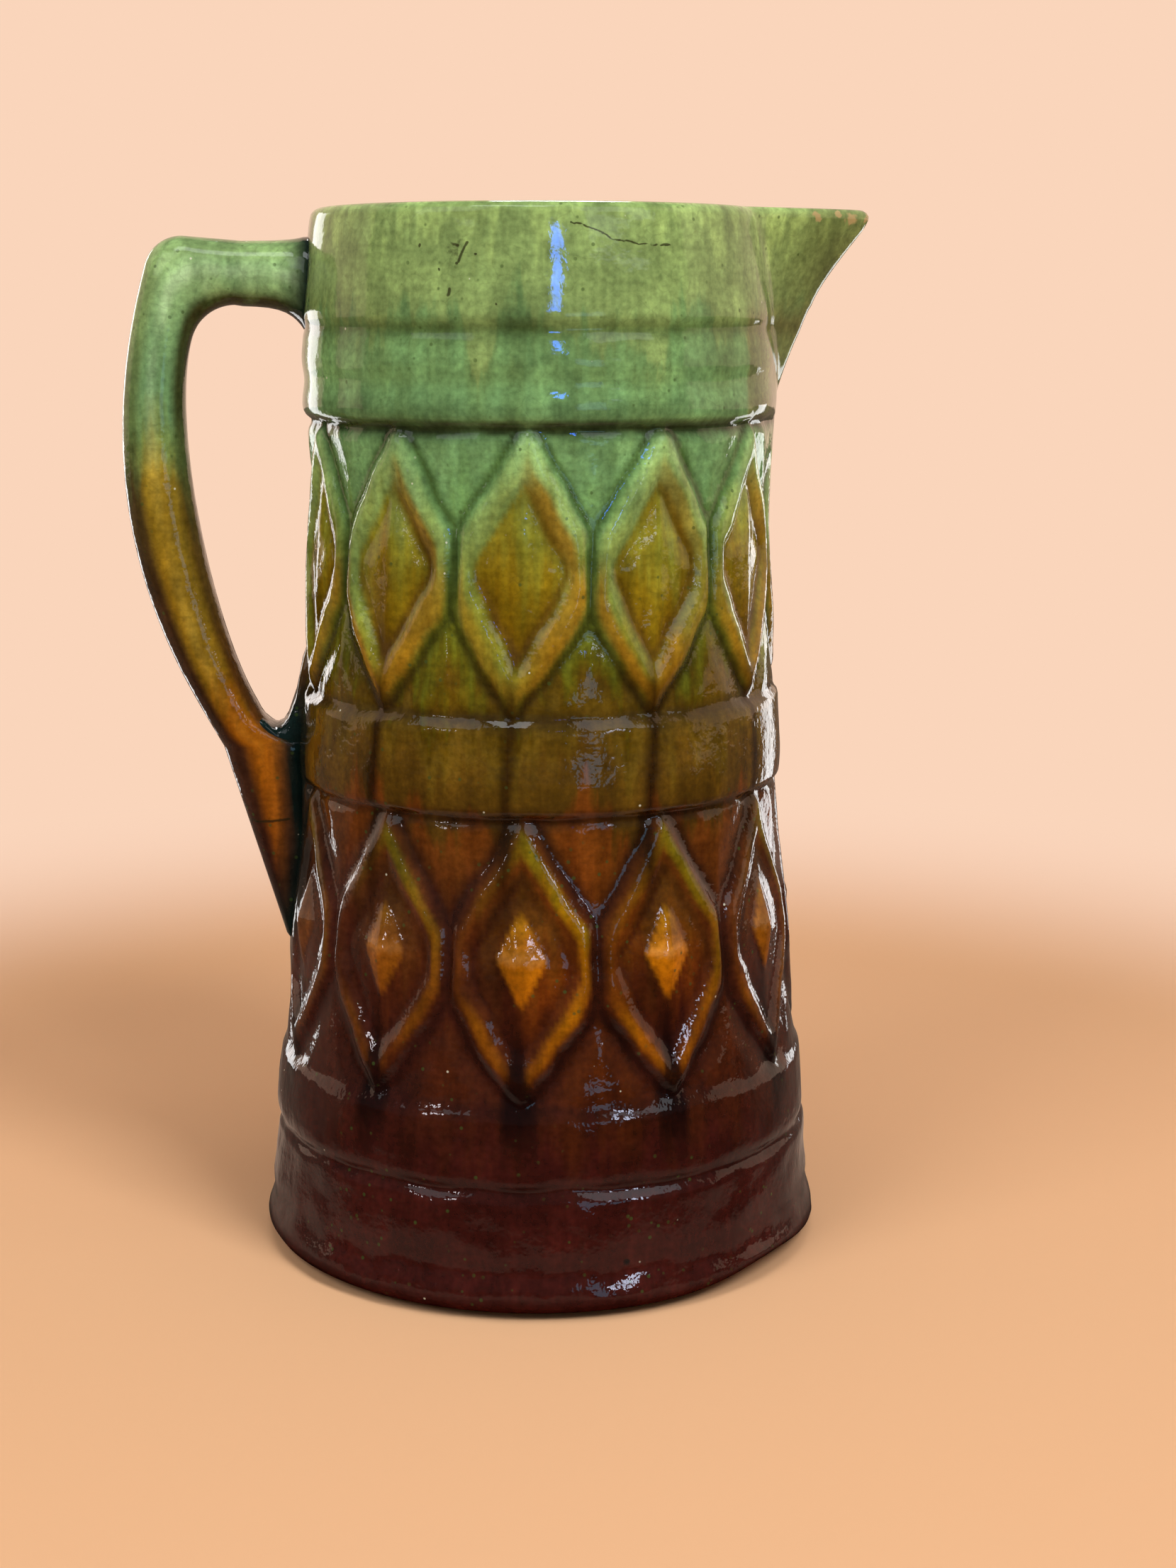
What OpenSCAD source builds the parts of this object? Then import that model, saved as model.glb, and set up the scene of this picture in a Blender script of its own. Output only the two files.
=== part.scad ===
// Press-moulded earthenware jug with two tiers of raised lozenges, a beak spout and a loop handle.
// Two relief half walls, a base slab, the spout and the handle are luted together with slip.
// Origin on the jug's axis at the table, +X towards the spout, +Z up, millimetres.

/* [Heights] */
// Lift of the walls' bottom edge above the table
foot_lift = 1.5; // [0.5:0.1:3]
// Plinth, from the table to its groove
plinth_h = 29; // [22:0.5:40]
// Plain low band above the plinth
low_band_h = 19; // [12:0.5:30]
// Lower tier of lozenges
lower_tier_h = 63; // [50:0.5:76]
// Plain middle band
middle_band_h = 23; // [16:0.5:32]
// Upper tier of lozenges
upper_tier_h = 59.5; // [48:0.5:72]
// Collar, from the upper tier to the neck groove
collar_h = 20.5; // [15:0.5:28]
// Rim band, from the neck groove to the rim
rim_band_h = 26; // [22:0.5:34]

/* [Outer radii] */
// Plinth near its foot
plinth_r = 66.2; // [64:0.1:72]
// Plinth at its groove
plinth_top_r = 63.7; // [61:0.1:66]
// Low band at its top
low_band_r = 62.1; // [59:0.1:65]
// Lower tier at mid height
lower_tier_r = 59.1; // [57:0.1:62]
// Lower tier under the middle band
lower_neck_r = 56.5; // [54:0.1:59]
// Middle band
middle_band_r = 56.7; // [54:0.1:60]
// Foot of the upper tier
upper_tier_r = 55.5; // [53:0.1:58]
// Waist, near the top of the upper tier
waist_r = 53.1; // [50:0.1:56]
// Collar
collar_r = 54; // [51:0.1:57]
// Rim
rim_r = 50.9; // [48:0.1:55]

/* [Wall and relief] */
// Thickness of the wall behind the ground of the relief
shell_t = 3.6; // [2.5:0.1:6]
// Depth of the ground below the ridges and bands
ground_d = 2.2; // [1:0.1:3]
// Rise of the pillows in the upper tier above the ground
pillow_rise = 1.1; // [0:0.1:2]
// Rise of the studs in the lower tier above the ground
stud_rise = 2; // [0.5:0.1:3]
// Depth of the turned grooves
groove_d = 0.9; // [0.3:0.1:1.8]
// Half width of the turned grooves
groove_half_w = 1.6; // [0.8:0.1:2.4]
// Rounding of the rim and of the bottom edge
edge_round = 1.6; // [0.5:0.1:2.2]
// Height of the sloping ledges above the tiers' feet
ledge_h = 4; // [2:0.1:5]
// Run over which the relief is smoothed away beside the handle's ends
smooth_run = 4; // [2:0.5:8]
// Lozenges round the jug in each tier
lozenge_count = 11; // [8:1:14]

/* [Base slab] */
// Thickness of the slab
slab_t = 8; // [5:0.5:14]
// Width of the foot ring that it stands on
foot_ring_w = 9; // [5:0.5:16]
// Depth of the recess inside the foot ring
recess_d = 1.5; // [0.5:0.1:3]
// Straight stretch of the wall's inside above the slab
slab_lap = 2; // [1:0.5:5]
// Gap between the slab and the wall
slab_gap = 0.1; // [0.05:0.05:0.4]

/* [Spout] */
// Reach of the beak beyond the wall at the rim
spout_reach = 26.5; // [16:0.5:36]
// Half angle of the notch at the rim, seen from above
notch_half = 23; // [14:0.5:30]
// Thickness of the beak at its keel
spout_t = 4.5; // [3:0.1:7]
// Height of the notch's point above the collar's lower edge
notch_lift = 3.5; // [2.5:0.5:6]
// Share of the reach that grows evenly with height, the rest sweeping out towards the rim
keel_even = 0.35; // [0.2:0.05:0.8]

/* [Handle] */
// Drop of the upper arm's centre below the rim
arm_drop = 14.3; // [12:0.1:20]
// Thickness of the handle in its own plane
grip_t = 14.4; // [9:0.1:17]
// Width of the handle across
grip_w = 15.5; // [10:0.1:20]
// Distance of the corner's centre from the axis
corner_x = 75; // [70:0.5:85]
// Radius of the corner on the centre line
corner_r = 10; // [9:0.5:14]
// Extra fullness outside the corner
corner_swell = 0.8; // [0:0.1:4]
// Extra height of the flared upper end
flare_h = 6.2; // [2:0.1:10]
// Extra width of the flared upper end
flare_w = 5; // [1:0.1:8]
// Length over which the flare dies away
flare_l = 3.2; // [1.5:0.1:6]
// Thickness of the handle at its lower bend
bend_t = 12; // [8:0.1:15]
// Distance of the lower bend's centre from the wall
bend_out = 14.8; // [12:0.1:20]
// Drop of the lower bend's centre below the upper tier
bend_drop = 9; // [6:0.5:14]
// Lean of the grip at the lower bend, in degrees
bend_lean = 32.6; // [25:0.1:40]
// Drop of the crotch below the lower bend's centre
crotch_drop = 5; // [3:0.5:8]
// Length of the tail below the lower bend's centre
tail_h = 52; // [40:0.5:64]
// Width of the tail at its end
tail_w = 11; // [7:0.1:16]
// Thickness of the tail at its end
tail_t = 1.4; // [0.8:0.1:4]

/* [Lutes] */
// Bed of slip between the handle and the wall
lute_t = 0.8; // [0.4:0.1:1.5]
// Width of the slip fillets beside the handle
lute_w = 2.6; // [1:0.1:4]
// Rise of the slip up the wall in the crotch
lute_rise = 5; // [3:0.5:8]
// Plain wall round the slip
lute_edge = 1; // [0.5:0.1:3]
// Gap between the slip and the faceted wall
lute_gap = 0.1; // [0.05:0.01:0.2]

/* [Hidden] */

// Heights of the ring lines above the table
low_band_z = plinth_h + low_band_h;
middle_band_z = low_band_z + lower_tier_h;
upper_tier_z = middle_band_z + middle_band_h;
collar_z = upper_tier_z + upper_tier_h;
groove_z = collar_z + collar_h;
rim_z = groove_z + rim_band_h;
notch_z = collar_z + notch_lift;
plinth_belly_z = foot_lift + 1.6 * edge_round;

// The relief grid: levels up a tier, columns from a lozenge's middle to its side
levels = 12;
side_cols = 5;
cols = lozenge_count * side_cols;
waist_level = 10;

// The plain outline that the ridges and bands reach, as height and radius
outline = [
    [plinth_belly_z, plinth_r],
    [plinth_h, plinth_top_r],
    [low_band_z, low_band_r],
    [low_band_z + lower_tier_h / 2, lower_tier_r],
    [low_band_z + lower_tier_h * waist_level / levels, lower_neck_r],
    [middle_band_z + ledge_h / 2, middle_band_r],
    [upper_tier_z, upper_tier_r],
    [upper_tier_z + upper_tier_h * waist_level / levels, waist_r],
    [notch_z, collar_r],
    [groove_z, collar_r],
    [rim_z, rim_r]
];
function plain_r(z) = lookup(z, outline);

// Rows of the outer wall: height, depth below the outline, tier (0 plain, 1 lower, 2 upper), level
function plain_row(z, depth = 0) = [z, depth, 0, 0];
function tier_rows(tier, z, h) = [for (k = [0:levels]) [z + h * k / levels, 0, tier, k]];
function groove_rows(z) = [
    plain_row(z - groove_half_w),
    plain_row(z, groove_d),
    plain_row(z + groove_half_w)
];
body_rows = concat(
    [plain_row(foot_lift, edge_round), plain_row(foot_lift + 0.5 * edge_round, 0.35 * edge_round)],
    [plain_row(plinth_belly_z), plain_row((plinth_belly_z + plinth_h) / 2)],
    groove_rows(plinth_h),
    [plain_row(low_band_z - ledge_h)],
    tier_rows(1, low_band_z, lower_tier_h),
    [plain_row(middle_band_z + ledge_h / 2), plain_row(upper_tier_z - ledge_h)],
    tier_rows(2, upper_tier_z, upper_tier_h),
    [plain_row(collar_z + notch_lift / 2, 0.2 * ground_d), plain_row(notch_z)]
);
neck_rows = concat(
    [plain_row((notch_z + groove_z) / 2)],
    groove_rows(groove_z),
    [for (k = [1:3]) plain_row(groove_z + rim_band_h * k / 4)],
    [plain_row(rim_z - edge_round, 0.25 * edge_round), plain_row(rim_z, edge_round)]
);
rows = concat(body_rows, neck_rows);
notch_row = len(body_rows) - 1;

// Depth below the outline, by steps inwards from a lozenge's edge: ground, ridge, then the field
field_depth = [ground_d, 0, ground_d, ground_d, ground_d, ground_d];
pillow_depth = [for (u = [0:5]) field_depth[u] - (u < 3 ? 0 : pillow_rise * (u - 2) / 3)];
stud_depth = [for (u = [0:5]) field_depth[u] - (u < 4 ? 0 : stud_rise * (u - 3) / 2)];
function steps_from_middle(i) = min(i % (2 * side_cols), 2 * side_cols - i % (2 * side_cols));
function inset(i, k) =
    let (c = steps_from_middle(i), b = abs(k - levels / 2))
    max(0, min(levels / 2 - b - c, side_cols - c));
function relief(i, row) =
    row[2] == 0 ? row[1]
    : row[2] == 1 ? stud_depth[inset(i, row[3])]
    : pillow_depth[inset(i, row[3])];

// The relief is smoothed away, 0 to 1, where the handle's ends are luted on
function outside(v, low, high) = max(0, min(1, max(low - v, v - high) / smooth_run));
function seat_half_w(w) = w / 2 + lute_w + lute_edge;
function clear_of_handle(y, z) = min(
    max(outside(y, -1, seat_half_w(grip_w)),
        outside(z, tail_z - 2 * lute_w, crotch_z + lute_rise + lute_edge)),
    max(outside(y, -1, seat_half_w(grip_w + flare_w)),
        outside(z, arm_low_z - lute_w - lute_edge, rim_z))
);

// The notch opens evenly from its point to the rim, and the wall's columns share what is left
function notch_angle(z) = notch_half * max(0, z - notch_z) / (rim_z - notch_z);
function col_angle(i, z) = notch_angle(z) + (180 - notch_angle(z)) * i / cols;
function round_point(r, a, z) = [r * cos(a), -r * sin(a), z];
function outer_point(i, row) =
    let (z = row[0], a = col_angle(i, z), r = plain_r(z), y = a < 90 ? r : r * sin(a))
    round_point(r - relief(i, row) * clear_of_handle(y, z), a, z);

// The inside of the wall, straight where it holds the slab
slab_top = slab_t + slab_lap;
wall_t = ground_d + shell_t;
function inner_r(z) = plain_r(max(z, slab_top)) - wall_t + (z < rim_z ? 0 : edge_round / 2);
inner_z = concat(
    [foot_lift, slab_top, plinth_h, low_band_z, low_band_z + lower_tier_h / 2],
    [middle_band_z, upper_tier_z, upper_tier_z + upper_tier_h / 2, notch_z],
    [for (row = neck_rows) row[0]]
);
inner_notch_row = len(inner_z) - len(neck_rows) - 1;
function inner_point(i, z) = round_point(inner_r(z), col_angle(i, z), z);

// One press-moulded half, as an outer grid, an inner grid and the edges between them
module half_wall() {
    n = len(rows);
    m = len(inner_z);
    points = concat(
        [for (row = rows) for (i = [0:cols]) outer_point(i, row)],
        [for (z = inner_z) for (i = [0:cols]) inner_point(i, z)]
    );
    function o(i, k) = k * (cols + 1) + i;
    function v(i, k) = (n + k) * (cols + 1) + i;
    // Each cell is cut along the lozenge's slanting edge
    function leans_right(i, k) =
        (rows[k][3] >= levels / 2) == (i % (2 * side_cols) < side_cols);
    outer = [for (k = [0:n - 2]) for (i = [0:cols - 1])
        each leans_right(i, k)
            ? [[o(i, k), o(i + 1, k), o(i, k + 1)], [o(i + 1, k), o(i + 1, k + 1), o(i, k + 1)]]
            : [[o(i, k), o(i + 1, k), o(i + 1, k + 1)], [o(i, k), o(i + 1, k + 1), o(i, k + 1)]]
    ];
    inner = [for (k = [0:m - 2]) for (i = [0:cols - 1])
        each [[v(i, k), v(i + 1, k + 1), v(i + 1, k)], [v(i, k), v(i, k + 1), v(i + 1, k + 1)]]
    ];
    foot_edge = [for (i = [0:cols - 1])
        each [[o(i + 1, 0), o(i, 0), v(i, 0)], [o(i + 1, 0), v(i, 0), v(i + 1, 0)]]
    ];
    rim_edge = [for (i = [0:cols - 1])
        each [[o(i, n - 1), o(i + 1, n - 1), v(i + 1, m - 1)], [o(i, n - 1), v(i + 1, m - 1), v(i, m - 1)]]
    ];
    // A seam face is a strip of triangles between the outer rows and the fewer inner rows
    function row_inside(k) = max([for (q = [0:m - 1]) if (inner_z[q] <= rows[k][0] + 0.001) q]);
    function seam(i, top) = [for (k = [0:top - 1])
        each concat(
            [[o(i, k + 1), o(i, k), v(i, row_inside(k))]],
            [for (q = [row_inside(k):1:row_inside(k + 1) - 1]) [o(i, k + 1), v(i, q), v(i, q + 1)]]
        )
    ];
    handle_seam = seam(cols, n - 1);
    spout_seam = [for (t = seam(0, notch_row)) [t[0], t[2], t[1]]];
    notch_edge = [for (k = [notch_row:n - 2])
        let (q = k - notch_row + inner_notch_row)
        each [[o(0, k), o(0, k + 1), v(0, q + 1)], [o(0, k), v(0, q + 1), v(0, q)]]
    ];
    polyhedron(points, concat(outer, inner, foot_edge, rim_edge, notch_edge, handle_seam, spout_seam));
}

module near_wall() {
    color([0.45, 0.47, 0.2])
        half_wall();
}

module far_wall() {
    color([0.42, 0.4, 0.18])
        mirror([0, 1, 0])
            half_wall();
}

// The slab that closes the bottom, with its foot ring
slab_r = inner_r(0) * cos(90 / cols) - slab_gap;

module base_slab() {
    color([0.78, 0.62, 0.5])
        rotate_extrude($fn = 96)
            polygon([
                [0, recess_d],
                [slab_r - foot_ring_w, recess_d],
                [slab_r - foot_ring_w + recess_d, 0],
                [slab_r - foot_lift, 0],
                [slab_r, foot_lift],
                [slab_r, slab_t],
                [0, slab_t]
            ]);
}

// A closed solid between two grids of points, rows running down and columns left to right, seen in front.
// An even one has its right half cut as a mirror image of its left.
module slab_between(front, back, even = false) {
    n = len(front);
    m = len(front[0]);
    function f(k, c) = k * m + c;
    function b(k, c) = (n + k) * m + c;
    front_faces = [for (k = [0:n - 2]) for (c = [0:m - 2])
        each even && 2 * c >= m - 1
            ? [[f(k, c), f(k, c + 1), f(k + 1, c)], [f(k, c + 1), f(k + 1, c + 1), f(k + 1, c)]]
            : [[f(k, c), f(k, c + 1), f(k + 1, c + 1)], [f(k, c), f(k + 1, c + 1), f(k + 1, c)]]
    ];
    back_faces = [for (k = [0:n - 2]) for (c = [0:m - 2])
        each [[b(k, c), b(k + 1, c + 1), b(k, c + 1)], [b(k, c), b(k + 1, c), b(k + 1, c + 1)]]
    ];
    sides = [for (k = [0:n - 2])
        each [
            [f(k, 0), f(k + 1, 0), b(k, 0)],
            [f(k + 1, 0), b(k + 1, 0), b(k, 0)],
            [f(k + 1, m - 1), f(k, m - 1), b(k, m - 1)],
            [f(k + 1, m - 1), b(k, m - 1), b(k + 1, m - 1)]
        ]
    ];
    ends = [for (c = [0:m - 2])
        each [
            [f(0, c + 1), f(0, c), b(0, c)],
            [f(0, c + 1), b(0, c), b(0, c + 1)],
            [f(n - 1, c), f(n - 1, c + 1), b(n - 1, c + 1)],
            [f(n - 1, c), b(n - 1, c + 1), b(n - 1, c)]
        ]
    ];
    points = [each each front, each each back];
    // A row or column that closes to a point leaves no sliver
    function has_area(t) =
        points[t[0]] != points[t[1]] && points[t[1]] != points[t[2]] && points[t[2]] != points[t[0]];
    faces = [for (t = concat(front_faces, back_faces, sides, ends)) if (has_area(t)) t];
    polyhedron(points, faces);
}

// The beak: its edges are the notch's edges, and its keel swings out to the reach at the rim
spout_cols = 10;
keel_power = 1.4;
spout_rows = [for (k = [len(rows) - 1:-1:notch_row]) rows[k]];
function keel_rise(z) =
    let (t = (z - notch_z) / (rim_z - notch_z))
    spout_reach * (keel_even * t + (1 - keel_even) * t * t);
function across(edge, keel_x) = [for (s = [0:spout_cols])
    let (q = 2 * s / spout_cols - 1)
    [edge[0] + (keel_x - edge[0]) * (1 - pow(abs(q), keel_power)), abs(edge[1]) * q, edge[2]]
];
function beak_outside(row) =
    across(outer_point(0, row), plain_r(row[0]) - row[1] + keel_rise(row[0]));
function beak_inside(row) =
    let (t = (row[0] - notch_z) / (rim_z - notch_z), z = row[0])
    across(inner_point(0, z), inner_r(z) + keel_rise(z) + (wall_t - spout_t) * min(1, 2 * t));

module spout() {
    color([0.42, 0.5, 0.24])
        slab_between(
            [for (row = spout_rows) beak_outside(row)],
            [for (row = spout_rows) beak_inside(row)],
            even = true
        );
}

// Slip in the crease on each side of the beak, from below the rim to above the notch's point
lute_rows = [for (k = [len(rows) - 2:-1:notch_row + 1]) rows[k]];

module spout_crease() {
    slab_between(
        [for (row = lute_rows) [outer_point(1, row), beak_outside(row)[1]]],
        [for (row = lute_rows) [outer_point(0, row), outer_point(0, row)]]
    );
}

module spout_lute() {
    color([0.36, 0.46, 0.22]) {
        spout_crease();
        mirror([0, 1, 0])
            spout_crease();
    }
}

// The handle's rings: outer point and inner point in the plane of symmetry, and width
seat_x = plain_r(groove_z) + lute_t;
arm_z = rim_z - arm_drop;
arm_low_z = arm_z - grip_t / 2 - flare_h;
arm_l = corner_x - seat_x;
corner_end = 77;
function flare(d) = exp(-d / flare_l);
function arm_ring(d) = [
    [-seat_x - d, arm_z + grip_t / 2],
    [-seat_x - d, arm_z - grip_t / 2 - flare_h * flare(d)],
    grip_w + flare_w * flare(d)
];
function corner_ring(a) =
    let (middle = [-corner_x, arm_z - corner_r], out = [-sin(a), cos(a)])
    [middle + out * (corner_r + grip_t / 2 + corner_swell * sin(2 * a)),
        middle + out * (corner_r - grip_t / 2), grip_w];

// The grip is one cubic curve from the corner to the lower bend
bend_z = upper_tier_z - bend_drop;
pull_share = 0.3;
grip_start = [-corner_x - corner_r * sin(corner_end), arm_z - corner_r + corner_r * cos(corner_end)];
grip_end = [-plain_r(bend_z) - bend_out, bend_z];
pull = (grip_start[1] - grip_end[1]) * pull_share;
grip_curve = [
    grip_start,
    grip_start + pull * [-cos(corner_end), -sin(corner_end)],
    grip_end + pull * [-sin(bend_lean), cos(bend_lean)],
    grip_end
];
function on_curve(p, t) =
    pow(1 - t, 3) * p[0] + 3 * t * pow(1 - t, 2) * p[1] + 3 * t * t * (1 - t) * p[2] + pow(t, 3) * p[3];
function along_curve(p, t) =
    pow(1 - t, 2) * (p[1] - p[0]) + 2 * t * (1 - t) * (p[2] - p[1]) + t * t * (p[3] - p[2]);
function grip_ring(t) =
    let (c = on_curve(grip_curve, t), d = along_curve(grip_curve, t), out = [d[1], -d[0]] / norm(d))
    let (half = (grip_t + (bend_t - grip_t) * t) / 2)
    [c + out * half, c - out * half, grip_w];

// The tail runs straight down and into the wall, and its inner side lies on the bed of slip
tail_z = bend_z - tail_h;
crotch_z = bend_z - crotch_drop;
bend_ring = grip_ring(1);
tail_start = [-plain_r(crotch_z) - lute_t, crotch_z];
tail_end = [-plain_r(tail_z) - lute_t - tail_t, tail_z];
function mix(a, b, t) = a + (b - a) * t;
function on_wall(z) = [-plain_r(z) - lute_t, z];
tail_turn = 0.125;
function tail_ring(t) = [
    mix(bend_ring[0], tail_end, t),
    t < tail_turn
        ? mix(bend_ring[1], tail_start, t / tail_turn)
        : on_wall(mix(crotch_z, tail_z, (t - tail_turn) / (1 - tail_turn))),
    mix(grip_w, tail_w, t)
];
tail_steps = concat([tail_turn / 2], [for (k = [1:8]) k / 8]);
tail_rings = [for (t = tail_steps) tail_ring(t)];
handle_rings = concat(
    [for (d = [0, 0.25, 0.6, 1.2, 2.2, 4]) arm_ring(min(d * flare_l, arm_l - 1))],
    [for (a = [0:corner_end / 6:corner_end - 1]) corner_ring(a)],
    [for (t = [0:1 / 14:1.001]) grip_ring(t)],
    tail_rings
);

// A ring of points round a section, full at the sides: 0 outside, a quarter at +Y, half inside
sides = 16;
fullness = 0.8;
function full(v) = sign(v) * pow(abs(v), fullness);
function section(ring) = [for (j = [0:sides - 1])
    let (a = 360 * j / sides, p = mix(ring[1], ring[0], (1 + full(cos(a))) / 2))
    [p[0], ring[2] / 2 * full(sin(a)), p[1]]
];

module handle() {
    n = len(handle_rings);
    function p(k, j) = k * sides + j % sides;
    skin = [for (k = [0:n - 2]) for (j = [0:sides - 1])
        each [[p(k, j), p(k + 1, j), p(k + 1, j + 1)], [p(k, j), p(k + 1, j + 1), p(k, j + 1)]]
    ];
    caps = [[for (j = [0:sides - 1]) p(0, j)], [for (j = [sides - 1:-1:0]) p(n - 1, j)]];
    color([0.55, 0.42, 0.14])
        polyhedron([for (ring = handle_rings) each section(ring)], concat(skin, caps));
}

// A point on the wall's plain outside, on the handle's side
function wall_point(y, z) = [-sqrt(pow(plain_r(z) + lute_gap, 2) - y * y), y, z];

// The slip between the flared end and the wall, spreading into a fillet all round
module upper_handle_lute() {
    seat = section(handle_rings[0]);
    middle_z = (handle_rings[0][0][1] + handle_rings[0][1][1]) / 2;
    spread = 1 + 2 * lute_w / (grip_t + flare_h);
    rings = 4;
    wall_rings = [for (q = [rings:-1:1]) for (s = seat)
        let (k = spread * q / rings)
        wall_point(s[1] * k, min(middle_z + (s[2] - middle_z) * k, rim_z - edge_round))
    ];
    function p(q, j) = q * sides + j % sides;
    fillet = [for (j = [0:sides - 1])
        each [[p(1, j), p(0, j), p(0, j + 1)], [p(1, j), p(0, j + 1), p(1, j + 1)]]
    ];
    bed = [for (q = [1:rings - 1]) for (j = [0:sides - 1])
        each [[p(q, j), p(q, j + 1), p(q + 1, j + 1)], [p(q, j), p(q + 1, j + 1), p(q + 1, j)]]
    ];
    middle = [for (j = [0:sides - 1]) [p(rings, j), p(rings, j + 1), p(rings + 1, 0)]];
    cap = [[for (j = [sides - 1:-1:0]) j]];
    color([0.26, 0.44, 0.32])
        polyhedron(concat(seat, wall_rings, [wall_point(0, middle_z)]), concat(fillet, bed, middle, cap));
}

// The slip under and beside the tail, rising up the wall in the crotch
function inner_side(ring) = [for (j = [sides / 4:3 * sides / 4]) section(ring)[j]];
function bed_side(ring, rise) =
    let (spread = 1 + 2 * lute_w / ring[2])
    [for (s = inner_side(ring)) wall_point(s[1] * spread, ring[1][1] + rise)];

module lower_handle_lute() {
    color([0.5, 0.33, 0.1])
        slab_between(
            [for (ring = tail_rings) inner_side(ring)],
            [for (k = [0:len(tail_rings) - 1]) bed_side(tail_rings[k], k == 0 ? lute_rise : 0)]
        );
}

near_wall();
far_wall();
base_slab();
spout();
spout_lute();
handle();
upper_handle_lute();
lower_handle_lute();
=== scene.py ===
"""The glazed relief jug: its body, handle and foot with their glazes, on a pale stage.

Shapes are worked out in millimetres in the row frame (spout towards +X, handle towards -X) and
scaled to metres at the end. Angles round the jug are measured from the spout.
"""
import math
from functools import lru_cache

import bmesh
import bpy
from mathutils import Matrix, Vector, noise


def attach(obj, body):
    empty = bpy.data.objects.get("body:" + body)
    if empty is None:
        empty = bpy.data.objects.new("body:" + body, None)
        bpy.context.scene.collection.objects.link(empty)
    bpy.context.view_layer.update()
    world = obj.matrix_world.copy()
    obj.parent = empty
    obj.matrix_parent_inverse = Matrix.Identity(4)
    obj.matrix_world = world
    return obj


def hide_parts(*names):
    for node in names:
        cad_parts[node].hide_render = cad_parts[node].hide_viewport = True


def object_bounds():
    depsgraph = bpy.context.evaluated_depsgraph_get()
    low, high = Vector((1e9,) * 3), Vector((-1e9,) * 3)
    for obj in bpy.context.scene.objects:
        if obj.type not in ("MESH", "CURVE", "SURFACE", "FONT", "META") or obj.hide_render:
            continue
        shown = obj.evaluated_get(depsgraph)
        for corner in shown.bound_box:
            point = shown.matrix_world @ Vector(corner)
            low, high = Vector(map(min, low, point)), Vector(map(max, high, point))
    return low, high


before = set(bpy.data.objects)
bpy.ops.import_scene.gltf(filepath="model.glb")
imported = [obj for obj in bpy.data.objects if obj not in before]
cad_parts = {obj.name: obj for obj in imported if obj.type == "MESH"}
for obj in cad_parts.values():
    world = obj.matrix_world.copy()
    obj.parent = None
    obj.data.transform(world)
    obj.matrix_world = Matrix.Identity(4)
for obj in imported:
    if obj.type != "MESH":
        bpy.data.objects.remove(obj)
cad_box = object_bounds()

MM = 0.001
RIM_Z = cad_box[1].z / MM

# Outer outline of the body, as height and radius
OUTLINE = (
    (1.5, 65.8), (4, 66.2), (17, 64.5), (29, 63.6), (38, 63.1), (47, 62.1), (61, 60.4), (75, 59.6),
    (87, 58.1), (97, 56.9), (109, 56.5), (116, 56.8), (126, 56.0), (135, 55.5), (160, 54.0),
    (182, 53.1), (198, 54.0), (211, 53.8), (234, 51.8), (RIM_Z, 50.9),
)
WALL_T = 5.7
LIP_RISE = 2.4
FOOT_LIFT = 1.5
FOOT_ROUND = 2.6
FLOOR_Z = 9.2
FLOOR_UNDER_Z = 8.15
FLOOR_FILLET = 9.0
SLAB_SEAT_R = 59.95

# Heights of the ring lines
FOOT_DIP_Z = 10.5
PLINTH_GROOVE_Z = 28.9
LOWER_FOOT_Z = 48.0
LOWER_TOP_Z = 110.5
BAND_FOOT_Z = 111.6
BAND_TOP_Z = 128.8
LEDGE_Z = 132.0
UPPER_FOOT_Z = 134.0
UPPER_TOP_Z = 193.5
COLLAR_DIP_Z = 202.4
NECK_DIP_Z = 211.0
NECK_GROOVE_Z = 213.9

# Lozenges of the two tiers
LOZENGES = 11
COLUMNS = LOZENGES * 34
HALF_PITCH = math.pi / LOZENGES
SIDE_SHARE = 0.905
BLUNT_HALF_H = 7.5
FLANK_STEEP = 1.7
CORNER_SOFT = 1.5

# The beak, and its keel, which runs on down the wall
NOTCH_Z = 197.0
NOTCH_HALF = math.radians(27)
SPOUT_REACH = 25.4
TIP_Z = RIM_Z - 2.6
KEEL_EVEN = 0.35
BEAK_POWER = 1.4
BEAK_EASE = 1.5
KEEL_HALF = math.radians(9)
KEEL_PROUD = 1.1
KEEL_STARTS = (170, 186)
KEEL_ENDS = (212, 224)
BEAK_SMOOTHINGS = 3

# The handle
ARM_Z = RIM_Z - 14.3
GRIP_T = 14.4
GRIP_W = 15.5
ARM_L = 14.0
CORNER_OUT = Vector((-79.8, 225.2))
CORNER_OUT_R = 8.8
CORNER_IN = Vector((-68.5, 208.6))
CORNER_IN_R = 10.1
CORNER_END = math.radians(73)
FLARE_L = 3.2
FLARE_TOP = 0.9
FLARE_LOW = 6.2
FLARE_W = 5.0
BEND = Vector((-70.9, 125.0))
BEND_LEAN = math.radians(32.6)
BEND_T = 12.0
GRIP_END_LEAN = math.radians(29)
GRIP_OUT_PULLS = (57.5, 17.5)
GRIP_IN_PULLS = (20.0, 20.0)
KINK = Vector((-74.0, 118.1))
TAIL_END = Vector((-60.6, 73.2))
TAIL_TIP = Vector((-58.4, 70.0))
TAIL_W = 11.0
SINK = 2.4
SECTION_SIDES = 32
SECTION_FULLNESS = 0.84
TAIL_FULLNESS = 0.4


def clamp(v, low=0.0, high=1.0):
    return max(low, min(high, v))


def ease(low, high, v):
    """0 below low, 1 above high, with soft ends."""
    t = clamp((v - low) / (high - low))
    return t * t * (3 - 2 * t)


def soft_min(a, b, k):
    h = max(k - abs(a - b), 0.0) / k
    return min(a, b) - h * h * k / 4


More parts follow.
